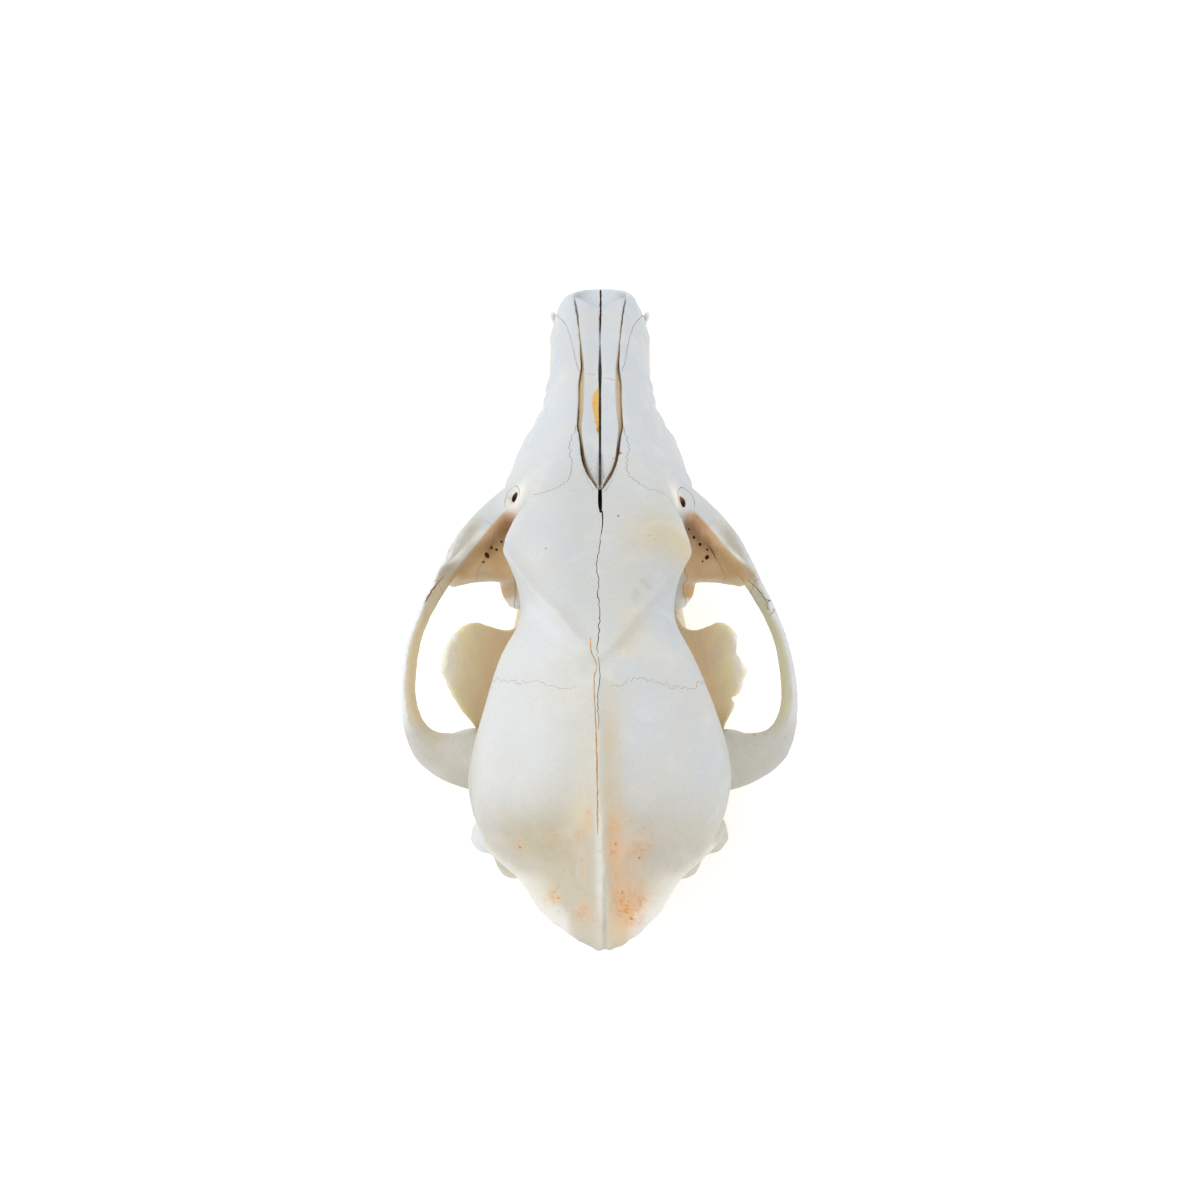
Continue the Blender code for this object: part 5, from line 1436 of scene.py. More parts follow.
def bed_cutters():
    """The bed of the nasal bones and the deep gap down its middle."""
    at = np.arange(7.0, 87.05, NASAL_STEP)
    rows = interpolate(NASAL_BONES, at)
    outer = np.maximum(rows[:, 1], 0.4)
    bed = bar("bed", at, -outer, outer, rows[:, 2] - 3.0, rows[:, 2] + 6.0)
    at = np.arange(20.0, 86.0, NASAL_STEP)
    rows = interpolate(NASAL_BONES, at)
    half = interpolate(MIDLINE_GAP, at)[:, 0] + 0.25
    deep = bar("middle_gap", at, -half, half, rows[:, 2] - 8.0, rows[:, 2] - 1.0)
    return [bed, deep]


def smooth_places(obj):
    """The hollows behind the vault, the floor of each orbit and the brow made as smooth as real ones."""
    points, _ = points_of(obj)
    x, y, z = points.T
    side = np.abs(x)
    rear = rise(158, 168, y) * rise(28, 36, z) * rise(1.6, 3.2, side)
    rear *= 1 - near_line(points, LEFT_RIM, 2.2)
    rear *= 1 - near_line(points, RIGHT_RIM, 2.2)
    softened(obj, rear, 60)
    orbit = rise(23, 26, side) * fade(40, 43, side) * rise(82, 86, y)
    orbit *= fade(101, 104, y) * rise(10, 14, z) * fade(24, 28, z)
    softened(obj, orbit, 60)
    brow = rise(18, 20, side) * fade(25, 27, side) * rise(96, 100, y)
    brow *= fade(112, 116, y) * rise(35, 38, z)
    softened(obj, brow, 25)


def upper_sculpt(obj):
    """Ridges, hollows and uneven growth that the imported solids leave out. All lifts are in millimetres."""
    points, normals = points_of(obj)
    x, y, z = points.T
    side = np.abs(x)
    up = rise(0.2, 0.8, normals[:, 2])
    lift = np.zeros(len(points))
    for height, line in TEMPORAL_RIDGES:
        lift += height * near_line(points, line, 1.3)
        beside = [(px * 1.06 + math.copysign(1.6, px), py + 1.6, pz - 1.0) for px, py, pz in line]
        lift -= 1.5 * height * near_line(points, beside, 2.6)
    lift -= 1.0 * bell(x, 6.5) * rise(66, 82, y) * fade(110, 128, y) * up
    lift += 0.35 * bell(side - 12.0, 5.0) * rise(84, 92, y) * fade(104, 114, y) * up
    for rx, ry, half_length, height in UPPER_ROOTS:
        swell = bell(y - ry, half_length) * bell(z - height, 5.5) * rise(rx - 6, rx - 2, side)
        lift += 0.55 * swell * rise(0.2, 0.7, np.abs(normals[:, 0]))
    rough = rise(168, 178, y) * rise(22, 30, z)
    rough = np.maximum(rough, rise(20, 27, side) * rise(160, 170, y))
    rough = np.maximum(rough, 0.8 * bell(z - 59, 3.0) * rise(140, 150, y))
    lift += 0.55 * rough * uneven(points, 2.4, 11)
    rim = rise(38, 44, side) * rise(84, 96, y) * fade(144, 154, y)
    lift += 0.30 * rim * uneven(points, 1.3, 23)
    lift += 0.60 * (value_noise(points, 11.0, 5) - 0.5) + 0.22 * uneven(points, 4.0, 7)
    lift += 0.07 * uneven(points, 1.2, 9)
    place_points(obj, points + normals * lift[:, None])


def jaw_sculpt(obj):
    """Uneven growth of the lower jaw, and the swellings over the roots of its teeth."""
    points, normals = points_of(obj)
    x, y, z = points.T
    side = np.abs(x)
    lift = 0.40 * (value_noise(points, 9.0, 31) - 0.5) + 0.16 * uneven(points, 3.2, 33)
    for rx, ry, half_length, height in LOWER_ROOTS:
        swell = bell(y - ry, half_length) * bell(z - height, 5.0) * rise(rx - 2, rx + 1, side)
        lift += 0.45 * swell * rise(0.2, 0.7, np.abs(normals[:, 0]))
    edge = rise(14, 30, z) * rise(0.2, 0.9, np.abs(normals[:, 1]) + np.abs(normals[:, 2]))
    lift += 0.85 * edge * uneven(points, 2.0, 37)
    place_points(obj, points + normals * lift[:, None])


# Seams between the bones
def square_to(line):
    """The direction square to a line in a plane, at each of its points."""
    along = np.gradient(line, axis=0)
    along /= np.linalg.norm(along, axis=1)[:, None]
    return np.column_stack([-along[:, 1], along[:, 0]])


def jagged(line, step, sway, seed):
    """The line with small waves added square to it, except at its ends."""
    points = along_path(line, step)
    wave = np.random.default_rng(seed).normal(0, sway, len(points))
    wave[:2] = wave[-2:] = 0.0
    return points + square_to(points) * wave[:, None]


def ribbon(line, gap):
    """The outline of a thin band along a line in a plane."""
    across = square_to(line) * gap / 2
    return np.concatenate([line + across, (line - across)[::-1]])


def upright_sheet(name, line, levels, slope, gap):
    """A thin sheet that stands on a line seen from above, and leans back below FACE_SEAM_LEVEL."""
    x, y = ribbon(line, gap).T
    return loft(name, [ring(x, y + (FACE_SEAM_LEVEL - z) * slope, z) for z in levels])


def side_sheet(name, line, gap):
    """A thin sheet that runs outwards from a line seen from the side."""
    y, z = ribbon(line, gap).T
    return loft(name, [ring(36.0 + (y - 101.0) * 0.2, y, z), ring(60.0, y, z)])


def seam_sheets():
    """Thin sheets that part the face from the forehead, and the cheekbones from both."""
    face_line = jagged(FOREHEAD_SEAM, 0.6, 0.26, 3)
    sheets = [marked(upright_sheet("face_sheet", face_line, (-6.0, 60.0), FACE_SEAM_LEAN, 0.10), BROWN)]
    for seed, turn in ((4, False), (5, True)):
        cheek = upright_sheet("cheek_sheet", jagged(CHEEK_SEAM, 1.2, 0.08, seed), (0.0, 34.0), 0.0, 0.05)
        jugal = side_sheet("jugal_sheet", jagged(ARCH_SEAM, 1.3, 0.14, seed + 2), 0.12)
        pair = [marked(cheek, FAINT), marked(jugal, FAINT)]
        sheets += [flipped(sheet) for sheet in pair] if turn else pair
    return sheets


def divided(skull):
    """The skull without its nasal bones as its named bones."""
    boolean(skull, seam_sheets())
    bones = {}
    for part in shells(skull):
        x, y, _ = centre_of(part)
        if abs(x) > 30:
            name = "zygomatic_left" if x > 0 else "zygomatic_right"
        else:
            name = "rostrum" if y < 80 else "braincase"
        if name in bones:
            bpy.data.objects.remove(part)
        else:
            part.name = name
            bones[name] = part
    return bones


def fine_cutters(surface):
    """Sutures, cracks and small holes of the upper skull."""
    draw = np.random.default_rng(8)
    cutters = []
    lines = [row for row in SEAMS + MIDLINE_SEAMS if not row[0].startswith("nasal")]
    for row in PAIRED_SEAMS:
        lines += [row, (*row[:-1], other_side(row[-1]))]
    for row in lines:
        cutters.append(crack(surface, *row, draw))
    cutters += [trench(surface, "hole", FRONTAL_HOLE), trench(surface, "slit", FRONTAL_SLIT)]
    for row in LACRIMAL:
        cutters.append(marked(ellipsoid("lacrimal", row[:3], row[3:], (12.0, 0.0, 0.0)), BROWN))
    cutters += [pit(surface, row) for row in PITS]
    cutters += [pit(surface, row, RUST) for row in SPECKS if not on_nasals(row)]
    return cutters + [pit(surface, row) for row in both_sides(FORAMINA)]


def on_nasals(row):
    return abs(row[0]) < 4.0 and row[1] < 84.0


def nasal_cutters(surface, side):
    """Cracks and specks of one nasal bone."""
    draw = np.random.default_rng(9)
    sign = 1 if side == "left" else -1
    cutters = [crack(surface, *row, draw) for row in SEAMS if row[0] == f"nasal_crack_{side}"]
    return cutters + [pit(surface, row, RUST) for row in SPECKS if on_nasals(row) and row[0] * sign > 0]


# Teeth
def cusp(x, y, turn, root, rim, shape):
    """A tapering cusp with its root, from inside the bone out to its tip."""
    forward, sideways, tip, half_length, half_width = shape
    angle = math.radians(turn)
    tall = abs(tip - rim) > TALL_CUSP
    share = np.linspace(0, 1, CUSP_LEVELS)
    swell = interpolate(TALL_SWELL if tall else SHORT_SWELL, share)
    rings = [(x, y, root, half_length * 0.7, half_width * 0.7)]
    for s, grow in zip(share, swell[:, 0]):
        lean = s**1.5 if tall else 1.0
        along, across = -forward * lean, sideways * lean
        cx = x + across * math.cos(angle) + along * math.sin(angle)
        cy = y + along * math.cos(angle) - across * math.sin(angle)
        rings.append((cx, cy, rim + (tip - rim) * s, half_length * grow, half_width * grow))
    return level_stack("cusp", rings, turn, CUSP_SIDES)


def teeth(rows, side, blunted=()):
    """One side's row of teeth. Each place in `blunted` adds a rounded tip."""
    pieces = [cusp(*row[1:6], shape) for row in rows for shape in row[6]]
    pieces += [ellipsoid("tip", place, radii) for place, radii in blunted]
    row = fused("teeth", pieces, TOOTH_VOXEL, smoothing=2)
    return row if side == "left" else flipped(row)


# Lower jaw
def ramus_ring(z, values):
    front, back, x_front, x_back, half = values
    c, s = np.cos(circle(RAMUS_SIDES)), np.sin(circle(RAMUS_SIDES))
    share = (1 - c) / 2
    x = x_front + (x_back - x_front) * share + half * (np.sign(s) * np.abs(s) ** 0.6)
    return ring(x, front + (back - front) * share, z)


def jaw_side():
    """The left half of the lower jaw, without its teeth."""
    rows = [(x, y, (low + high) / 2, half, (high - low) / 2) for x, y, half, low, high in JAW_BODY]
    body = sweep("body", rows, upward, JAW_SIDES)
    ramus = keyed_loft("ramus", RAMUS, ramus_ring)
    condyle = ellipsoid("condyle", (33.4, 147.2, 1.0), (9.2, 3.5, 3.5), (0.0, 0.0, 3.0))
    neck = sweep("neck", [
        (33.0, 146.6, 0.5, 4.6, 3.2), (32.0, 144.8, -6.0, 3.0, 3.4), (30.8, 142.4, -14.0, 2.4, 3.2)
    ], lambda point, tangent, more: (0.0, 1.0, 0.0))
    angle = sweep("angle", [
        (27.8, 132.0, -19.6, 3.0, 6.4), (29.2, 140.0, -20.4, 2.8, 4.6), (30.0, 146.6, -21.2, 2.4, 3.2),
        (30.4, 151.6, -20.6, 1.6, 2.2), (30.6, 154.0, -19.4, 1.0, 1.2)
    ], upward)
    bone = fused("jaw", [body, ramus, neck, angle], VOXEL, smoothing=6)
    hollow = ellipsoid("masseter", (37.4, 125.5, -1.0), (5.4, 15.0, 15.0), (0.0, 22.0, -8.0))
    bone = fused("jaw", [boolean(bone, [hollow]), condyle], VOXEL, smoothing=3)
    past_middle = box("past_middle", (-30.0, -20.0, -60.0), (JAW_HALF_GAP, 100.0, 10.0))
    return largest(boolean(bone, [past_middle]), "jaw")


def jaw(side):
    """One half of the lower jaw, with its relief and holes. The right half has its two bites."""
    bone = fused(f"mandible_{side}", [jaw_side()], FINE_VOXEL, smoothing=1)
    jaw_sculpt(bone)
    surface = surface_of(with_slots(bone))
    boolean(bone, [pit(surface, row) for row in JAW_FORAMINA])
    if side == "right":
        bone = flipped(bone)
        bites = [marked(ellipsoid("bite", place, radii), BONE) for place, radii in RIGHT_NOTCHES]
        boolean(bone, bites)
    return bone


def leaned(obj):
    """The coronoid process bent towards the skull's left."""
    points, _ = points_of(obj)
    points[:, 0] += CORONOID_LEAN * np.maximum(0.0, (points[:, 2] - LEAN_START) / LEAN_SPAN)
    place_points(obj, points)
    return obj


# Colours
def linear(red, green, blue):
    """A display colour of 0 to 255 as linear light."""
    display = np.array((red, green, blue)) / 255.0
    return np.where(display <= 0.04045, display / 12.92, ((display + 0.055) / 1.055) ** 2.4)


def spot(points, place, width):
    """A bell round a point, worked out only for the points close to it."""
    offset = points - np.array(place)
    near = np.abs(offset).max(axis=1) < 3 * width
    field = np.zeros(len(points))
    field[near] = bell(np.linalg.norm(offset[near], axis=1), width)
    return field


def spots(points, rows):
    """Bells round several points added up. A row is: x, y, z, width, strength."""
    total = np.zeros(len(points))
    for x, y, z, width, strength in rows:
        total += strength * spot(points, (x, y, z), width)
    return total


class Paint:
    """Tones laid over one another on the points of one piece.

    The shares are given by place in millimetres, by the slope of the surface or by noise."""

    def __init__(self, points, normals, tone):
        self.points = points
        self.x, self.y, self.z = points.T
        self.side = np.abs(self.x)
        self.up = normals[:, 2]
        self.outward = normals[:, 0] * np.sign(self.x)
        self.colour = np.tile(linear(*tone), (len(points), 1))

    def places(self):
        return self.x, self.y, self.z, self.side

    def lay(self, tone, share):
        share = np.clip(share, 0, 1)[:, None]
        self.colour = self.colour + (linear(*tone) - self.colour) * share


def broad_tones(paint, right):
    """The muzzle, the forehead, the flanks and the nostrils, with painted light on the left side, painted
    shade on the right side, painted light and shade across the temporal ridges, painted shade beside the left
    nasal bone and painted bluish shading inside the nose opening.
    """
    x, y, z, side = paint.places()
    paint.lay(FRONTAL, rise(60, 90, y))
    paint.lay(VAULT_TONE, rise(118, 138, y))
    # Painted shade: the right side, away from the light, made cooler and darker; the front of the muzzle gets
    # the same cool tone as its own colour
    right_shade = (0.12 + 0.23 * rise(80, 110, y)) * right * rise(10, 24, z)
    paint.lay(COOL, right_shade + 0.3 * fade(4, 40, y))
    # Painted light: the up-facing surfaces of the left side lightened, as if lit from the left
    lit = (1 - right) * rise(5, 16, side) * rise(0.0, 0.4, paint.up) * fade(164, 178, y)
    lit *= fade(27, 31, side) * (0.18 + 0.16 * rise(84, 110, y) + 0.12 * fade(20, 36, y))
    paint.lay(LIT_LEFT_WHITE, lit)
    # Painted light and shade across the temporal ridges: lighter outside each ridge and greyer just inside
    # it, mostly on the left
    ridge_x = held(RIDGE_LINE, y)[:, 0]
    behind = rise(101, 108, y) * fade(128, 140, y) * rise(36, 42, z)
    ridge_light = rise(-0.5, 0.9, side - ridge_x) * behind
    paint.lay(LIT_LEFT_WHITE, ridge_light * np.where(x > 0, 0.36, 0.04) * fade(4, 9, side - ridge_x))
    ridge_shade = rise(5.0, 0.4, ridge_x - side) * rise(-0.5, 0.6, ridge_x - side) * behind
    paint.lay(GREY_SHADE, ridge_shade * np.where(x > 0, 0.3, 0.04))
    flank = rise(0.42, 0.0, paint.up) * (1 - 0.4 * rise(100, 118, y))
    paint.lay(SIDE_TONE, 0.65 * flank)
    paint.lay(LOW_SIDE, fade(16, 34, z) * rise(104, 124, y) * 0.8)
    paint.lay(TEMPORAL, bell(y - 118, 11) * fade(44, 50, z) * 0.7)
    # Painted shade along the inner edge of the left nasal bone, beside the gap down the middle
    paint.lay(GREY_SHADE, 0.28 * bell(x - 2.6, 2.2) * fade(76, 86, y) * rise(14, 18, z))
    # Painted bluish shading on the up-facing floor inside the nose opening
    nostril = fade(14, 18, y) * fade(7, 10, z) * rise(0.2, 0.8, paint.up)
    paint.lay(NOSE_BLUE_SHADE, 0.55 * nostril)


def crest_tones(paint, cloud, fleck, rear):
    """The crests and the rear, and every soft patch."""
    x, y, z, side = paint.places()
    crest = rise(134, 150, y) * (bell(x + 2.4, 2.6) + 0.3 * bell(x - 3.0, 2.0))
    paint.lay(CREST_CREAM, crest * (0.35 + 0.8 * cloud))
    paint.lay(REAR, rear * 0.8)
    for px, py, pz, wide, tone, strength in PATCHES:
        patch = strength * spot(paint.points, (px, py, pz), wide)
        paint.lay(tone, patch * (0.75 + 0.6 * (cloud - 0.4)))
    rim = near_line(paint.points, LEFT_RIM, 1.5) + near_line(paint.points, RIGHT_RIM, 1.5)
    rim *= rise(4.0, 9.0, side) * (0.5 + 0.7 * cloud)
    ridge = bell(x + 0.5, 1.5) * rise(0.4, 0.9, paint.up) * rise(164, 172, y)
    ridge *= 1 - 0.6 * rise(188, 194, y)
    paint.lay(BRIGHT, np.clip(0.75 * rim + 0.6 * ridge, 0, 1))
    spine = bell(x + 0.9, 0.45) * rise(180, 188, y) * rise(0.3, 0.8, paint.up)
    paint.lay(CREST_GREY, spine * (0.35 + 0.7 * fleck))
    edge = rise(5.0, 8.0, side)
    edge *= rise(0.6, 1.0, side / np.maximum(1.0, 0.95 * (199.5 - y)))
    paint.lay(BRIGHT, 0.55 * edge * rise(180, 184, y) * rise(30, 38, z))


def cheek_tones(paint, cloud, fleck, right, arch, inner):
    """The cheek arches, with a strip of another tone down their inner side, and the orbits. The right arch's
    strip is a painted shaded copy of the left's tan, the inner slopes carry painted light, the outer rims are
    painted lit on the left and shaded on the right, and the orbit corners are partly painted shade.
    """
    _, y, z, side = paint.places()
    points, up, outward = paint.points, paint.up, paint.outward
    inside = rise(-0.5, 0.5, 26.0 + (y - 85.5) * 0.77 - side)
    orbit = rise(22.0, 24.0, side) * rise(84, 87, y) * fade(104.6, 106, y) * inside
    orbit *= fade(27, 30, z) * rise(-0.3, 0.3, up)
    strip = rise(101, 108, y)
    paint.lay(JUGAL, arch * (1 - strip) * rise(-0.2, 0.3, up))
    paint.lay(ARCH_TAN, arch * strip * inner * 0.9 * (1 - right))
    # Painted shade: the right arch's strip, away from the light
    paint.lay(ARCH_SHADED_TAN, arch * strip * inner * 0.9 * right)
    # Painted light on the inner slopes of the cheekbones, which face away from the light
    for px, py, pz, wide in CHEEK_SLOPE_LIGHTS:
        slope = spot(points, (px, py, pz), wide) * rise(0.6, 0.1, outward) * (1 - orbit)
        paint.lay(RIM_WHITE, 0.6 * slope)
    rough = strip * (1 - inner) + (1 - strip) * rise(0.55, 0.85, outward)
    rough *= arch * rise(-0.1, 0.4, up) * (0.7 + 0.5 * fleck)
    corner = rise(0.05, 0.4, outward) * rise(36, 42, side) * rise(136, 144, y)
    rough = np.maximum(rough, corner * rise(-0.3, 0.2, up))
    # The rough white outer rims: a painted lit copy on the left and a painted shaded copy on the right
    paint.lay(OUTER_LIT, rough * (1 - right))
    paint.lay(OUTER_SHADED, rough * right)
    lip = rise(23, 27, side) * fade(38, 42, side) * rise(102, 104.6, y)
    lip *= fade(108, 110, y) * fade(24, 27, z)
    paint.lay(LIP_TONE, lip * rise(8, 12, z) * 0.9)
    paint.lay(ORBIT_TAN, orbit * (0.85 + 0.5 * (cloud - 0.5)))
    # Partly brown bone, partly painted shade in the corners of the orbit floors
    for px, py, pz, wide, strength in ORBIT_CORNERS:
        corner = strength * orbit * spot(points, (px, py, pz), wide)
        paint.lay(ORBIT_DEEP, corner * (0.8 + 0.5 * (fleck - 0.5)))


def low_tones(paint, right, wing):
    """The roots of the arches, the sides behind the ears, the lacrimal bones and the underside, with painted
    shade on the right mastoid wing and in the funnels round the lacrimal openings.
    """
    _, y, _, side = paint.places()
    root = rise(26, 34, side) * rise(140, 148, y) * fade(160, 168, y)
    paint.lay(ROOT_TONE, root * 0.8)
    paint.lay(WING_TONE, wing * (1 - right))
    # Painted shade: the right mastoid wing greyer than the left, away from the light
    paint.lay(ROOT_TONE, 0.8 * wing * right)
    paint.lay(RIM_WHITE, 0.95 * spots(paint.points, LACRIMAL_BONES))
    # Painted shade in the funnel round each lacrimal opening
    paint.lay(REDDISH_FUNNEL_SHADE, 0.9 * spots(paint.points, LACRIMAL_FUNNEL_SHADES))
    paint.lay(UNDER, rise(0.3, 0.9, -paint.up) * 0.5)


def nasal_tones(paint, fleck):
    """The gaps beside and between the nasal bones, partly painted shade, and the amber film on the left one.
    """
    x, y, z, side = paint.places()
    bone, bed, top = held(NASAL_BONES, y).T
    fall = top - z - 1.0 * rise(66, 82, y)
    gap = rise(-0.10, 0.06, side - bone) * fade(0.0, 0.2, side - bed)
    deep = rise(0.55, 0.85, fall + 0.45 * rise(64, 70, y))
    gap *= deep * fade(87, 88, y) * rise(14, 30, y)
    # Tan and brown on the sunken surfaces beside the nasal bones: partly the bed's own colour, partly painted
    # shade in the gaps
    paint.lay(GAP_TAN, gap * fade(66, 72, y))
    paint.lay(GAP_BROWN, gap * rise(66, 72, y))
    # Painted shade: the gap between the two nasal bones painted dark, also over the points that bridge it
    slit = fade(0.22, 0.36, side) * rise(64, 67, y)
    slit *= fade(87.4, 88.0, y) * rise(20, 24, z)
    paint.lay(SLIT_SHADE, slit)
    film = rise(-0.15, 0.15, held(AMBER_EDGE, y)[:, 0] - x + 0.5 * (fleck - 0.5))
    film *= rise(0.1, 0.2, x) * (np.abs(y - 59.1) < 8.4) * rise(-1.5, -0.8, -fall)
    paint.lay(AMBER, film)
    paint.lay(AMBER_DEEP, film * rise(0.52, 0.66, fleck + 0.012 * (y - 58)))


def skull_tones(points, normals):
    """Colour, stain, grain and rust of the upper skull, with painted light and shade laid into the colour."""
    paint = Paint(points, normals, MUZZLE)
    x, y, z, side = paint.places()
    cloud = layered_noise(points, 7.0, 41)
    fleck = layered_noise(points, 1.6, 43, 2)
    # The right side, away from the light, which several tones below paint darker as painted shade
    right = rise(-3.0, 3.0, -x)
    rear = rise(160, 178, y) * rise(20, 34, z)
    arch = rise(30, 35, side) * rise(84, 90, y) * fade(144, 156, y)
    inner = rise(0.14, -0.10, paint.outward + 0.24 * (fleck - 0.5) + 0.08 + 0.22 * right)
    wing = rise(24.5, 28, side) * rise(163, 168, y) * fade(26, 32, z)
    broad_tones(paint, right)
    crest_tones(paint, cloud, fleck, rear)
    cheek_tones(paint, cloud, fleck, right, arch, inner)
    low_tones(paint, right, wing)
    nasal_tones(paint, fleck)
    stain = spots(points, BROWN_STAINS) * (0.55 + 0.9 * fleck)
    grain = 0.12 + 0.75 * np.maximum(arch * (1 - inner), 0.5 * rear)
    grain = np.maximum(grain, 0.8 * wing)
    return paint.colour, np.clip(stain, 0, 1), grain, np.clip(spots(points, STAINS), 0, 1)


def jaw_tones(points, normals):
    """The same of the lower jaw, which has no rust. The coronoid processes carry painted light: their cream
    is raised to look lit, their rims are partly a painted highlight and their lower parts partly painted
    shade.
    """
    paint = Paint(points, normals, JAW_TONE)
    _, y, z, _ = paint.places()
    cloud = layered_noise(points, 6.0, 51)
    # Painted light: the coronoid processes brightened to look lit in the shade of the vault
    paint.lay(CORONOID, rise(-2, 20, z) * rise(100, 112, y) * 0.95)
    # Partly warmer bone, partly painted shade low on the coronoid processes, in the recess beside the
    # braincase
    paint.lay(CORONOID_DEEP, 0.6 * rise(-4, 6, z) * fade(12, 24, z) * rise(104, 114, y))
    paint.lay(CREAM, 0.5 * rise(0.45, 0.7, cloud) * fade(2, 12, z))
    paint.lay(UNDER, rise(0.2, 0.9, -paint.up) * 0.5)
    # Partly the rough pale top rim of each coronoid process, partly a painted highlight where it catches the
    # light
    rim = rise(26.5, 29.5, z + 3.0 * uneven(points, 2.0, 53)) * rise(100, 112, y)
    paint.lay(CORONOID_RIM_HIGHLIGHT, 0.7 * rim)
    stain = 0.25 * rise(0.6, 0.8, cloud) * fade(2, 12, z)
    return paint.colour, np.clip(stain, 0, 1), 0.15 + 0.5 * rim, np.zeros(len(points))


def tooth_tones(points, normals):
    """The same of the teeth."""
    paint = Paint(points, normals, ENAMEL)
    crown = layered_noise(points, 2.5, 61)
    neck = bell(paint.z, 1.6) + bell(paint.z + 11.4, 1.8)
    paint.lay(TOOTH_NECK, neck * (0.5 + 0.6 * crown))
    stain = 0.25 * neck * rise(0.5, 0.8, crown)
    return paint.colour, np.clip(stain, 0, 1), np.full(len(points), 0.1), np.zeros(len(points))


def write_tones(obj, tones_of):
    """The piece's tones stored on its points, where its material reads them."""
    points, normals = points_of(obj)
    colour, stain, grain, rust = tones_of(points, normals)
    mesh = obj.data
    tone = mesh.attributes.new("tone", "FLOAT_COLOR", "POINT")
    tone.data.foreach_set("color", np.column_stack([colour, np.ones(len(points))]).astype(np.float32).ravel())
    for name, values in (("stain", stain), ("grain", grain), ("rust", rust)):
        attribute = mesh.attributes.new(name, "FLOAT", "POINT")
        attribute.data.foreach_set("value", values.astype(np.float32))


# Materials
class Nodes:
    """A new material and short ways to add and join its shader nodes. Sizes are in metres."""

    def __init__(self, name):
        self.material = bpy.data.materials.new(name)
        self.material.use_nodes = True
        self.tree = self.material.node_tree
        self.shader = self.tree.nodes["Principled BSDF"]

    def add(self, kind, **settings):
        node = self.tree.nodes.new(kind)
        for key, value in settings.items():
            setattr(node, key, value)
        return node

    def join(self, source, target):
        self.tree.links.new(source, target)

    def attribute(self, name):
        return self.add("ShaderNodeAttribute", attribute_name=name)

    def noise(self, size, detail=4.0, distortion=0.0):
        """Noise with features of about this size, in the piece's own coordinates."""
        place = self.add("ShaderNodeTexCoord")
        noise = self.add("ShaderNodeTexNoise")
        noise.inputs["Scale"].default_value = 1.0 / size
        noise.inputs["Detail"].default_value = detail
        noise.inputs["Distortion"].default_value = distortion
        self.join(place.outputs["Object"], noise.inputs["Vector"])
        return noise.outputs["Fac"]

    def cells(self, size):
        """Round cells of about this size."""
        place = self.add("ShaderNodeTexCoord")
        cells = self.add("ShaderNodeTexVoronoi")
        cells.inputs["Scale"].default_value = 1.0 / size
        self.join(place.outputs["Object"], cells.inputs["Vector"])
        return cells.outputs["Distance"]

    def ramp(self, value, low, high, bottom=0.0, top=1.0):
        """The value eased from bottom to top between low and high."""
        node = self.add("ShaderNodeMapRange")
        node.interpolation_type = "SMOOTHSTEP"
        for key, number in (("From Min", low), ("From Max", high), ("To Min", bottom), ("To Max", top)):
            node.inputs[key].default_value = number
        self.join(value, node.inputs["Value"])
        return node.outputs["Result"]

    def maths(self, operation, first, second):
        node = self.add("ShaderNodeMath", operation=operation)
        for socket, value in zip(node.inputs, (first, second)):
            if isinstance(value, (int, float)):
                socket.default_value = value
            else:
                self.join(value, socket)
        return node.outputs["Value"]

    def tint(self, share, strength, colour, tone):
        """The colour with part of another tone mixed in."""
        return self.mix(self.maths("MULTIPLY", share, strength), colour, linear(*tone))

    def set_colour(self, colour):
        self.join(colour, self.shader.inputs["Base Color"])

    def set_roughness(self, size, detail, low, high):
        self.join(self.ramp(self.noise(size, detail), 0.3, 0.7, low, high), self.shader.inputs["Roughness"])

    def set_bump(self, height, strength, distance):
        bump = self.add("ShaderNodeBump")
        bump.inputs["Strength"].default_value = strength
        bump.inputs["Distance"].default_value = distance
        self.join(height, bump.inputs["Height"])
        self.join(bump.outputs["Normal"], self.shader.inputs["Normal"])

    def mix(self, share, first, second, mode="MIX"):
        node = self.add("ShaderNodeMix", data_type="RGBA", blend_type=mode)
        sockets = {socket.identifier: socket for socket in node.inputs}
        for key, value in (("Factor_Float", share), ("A_Color", first), ("B_Color", second)):
            if isinstance(value, (int, float)):
                sockets[key].default_value = value
            elif isinstance(value, (tuple, np.ndarray)):
                sockets[key].default_value = (*map(float, value), 1.0)
            else:
                self.join(value, sockets[key])
        return {socket.identifier: socket for socket in node.outputs}["Result_Color"]


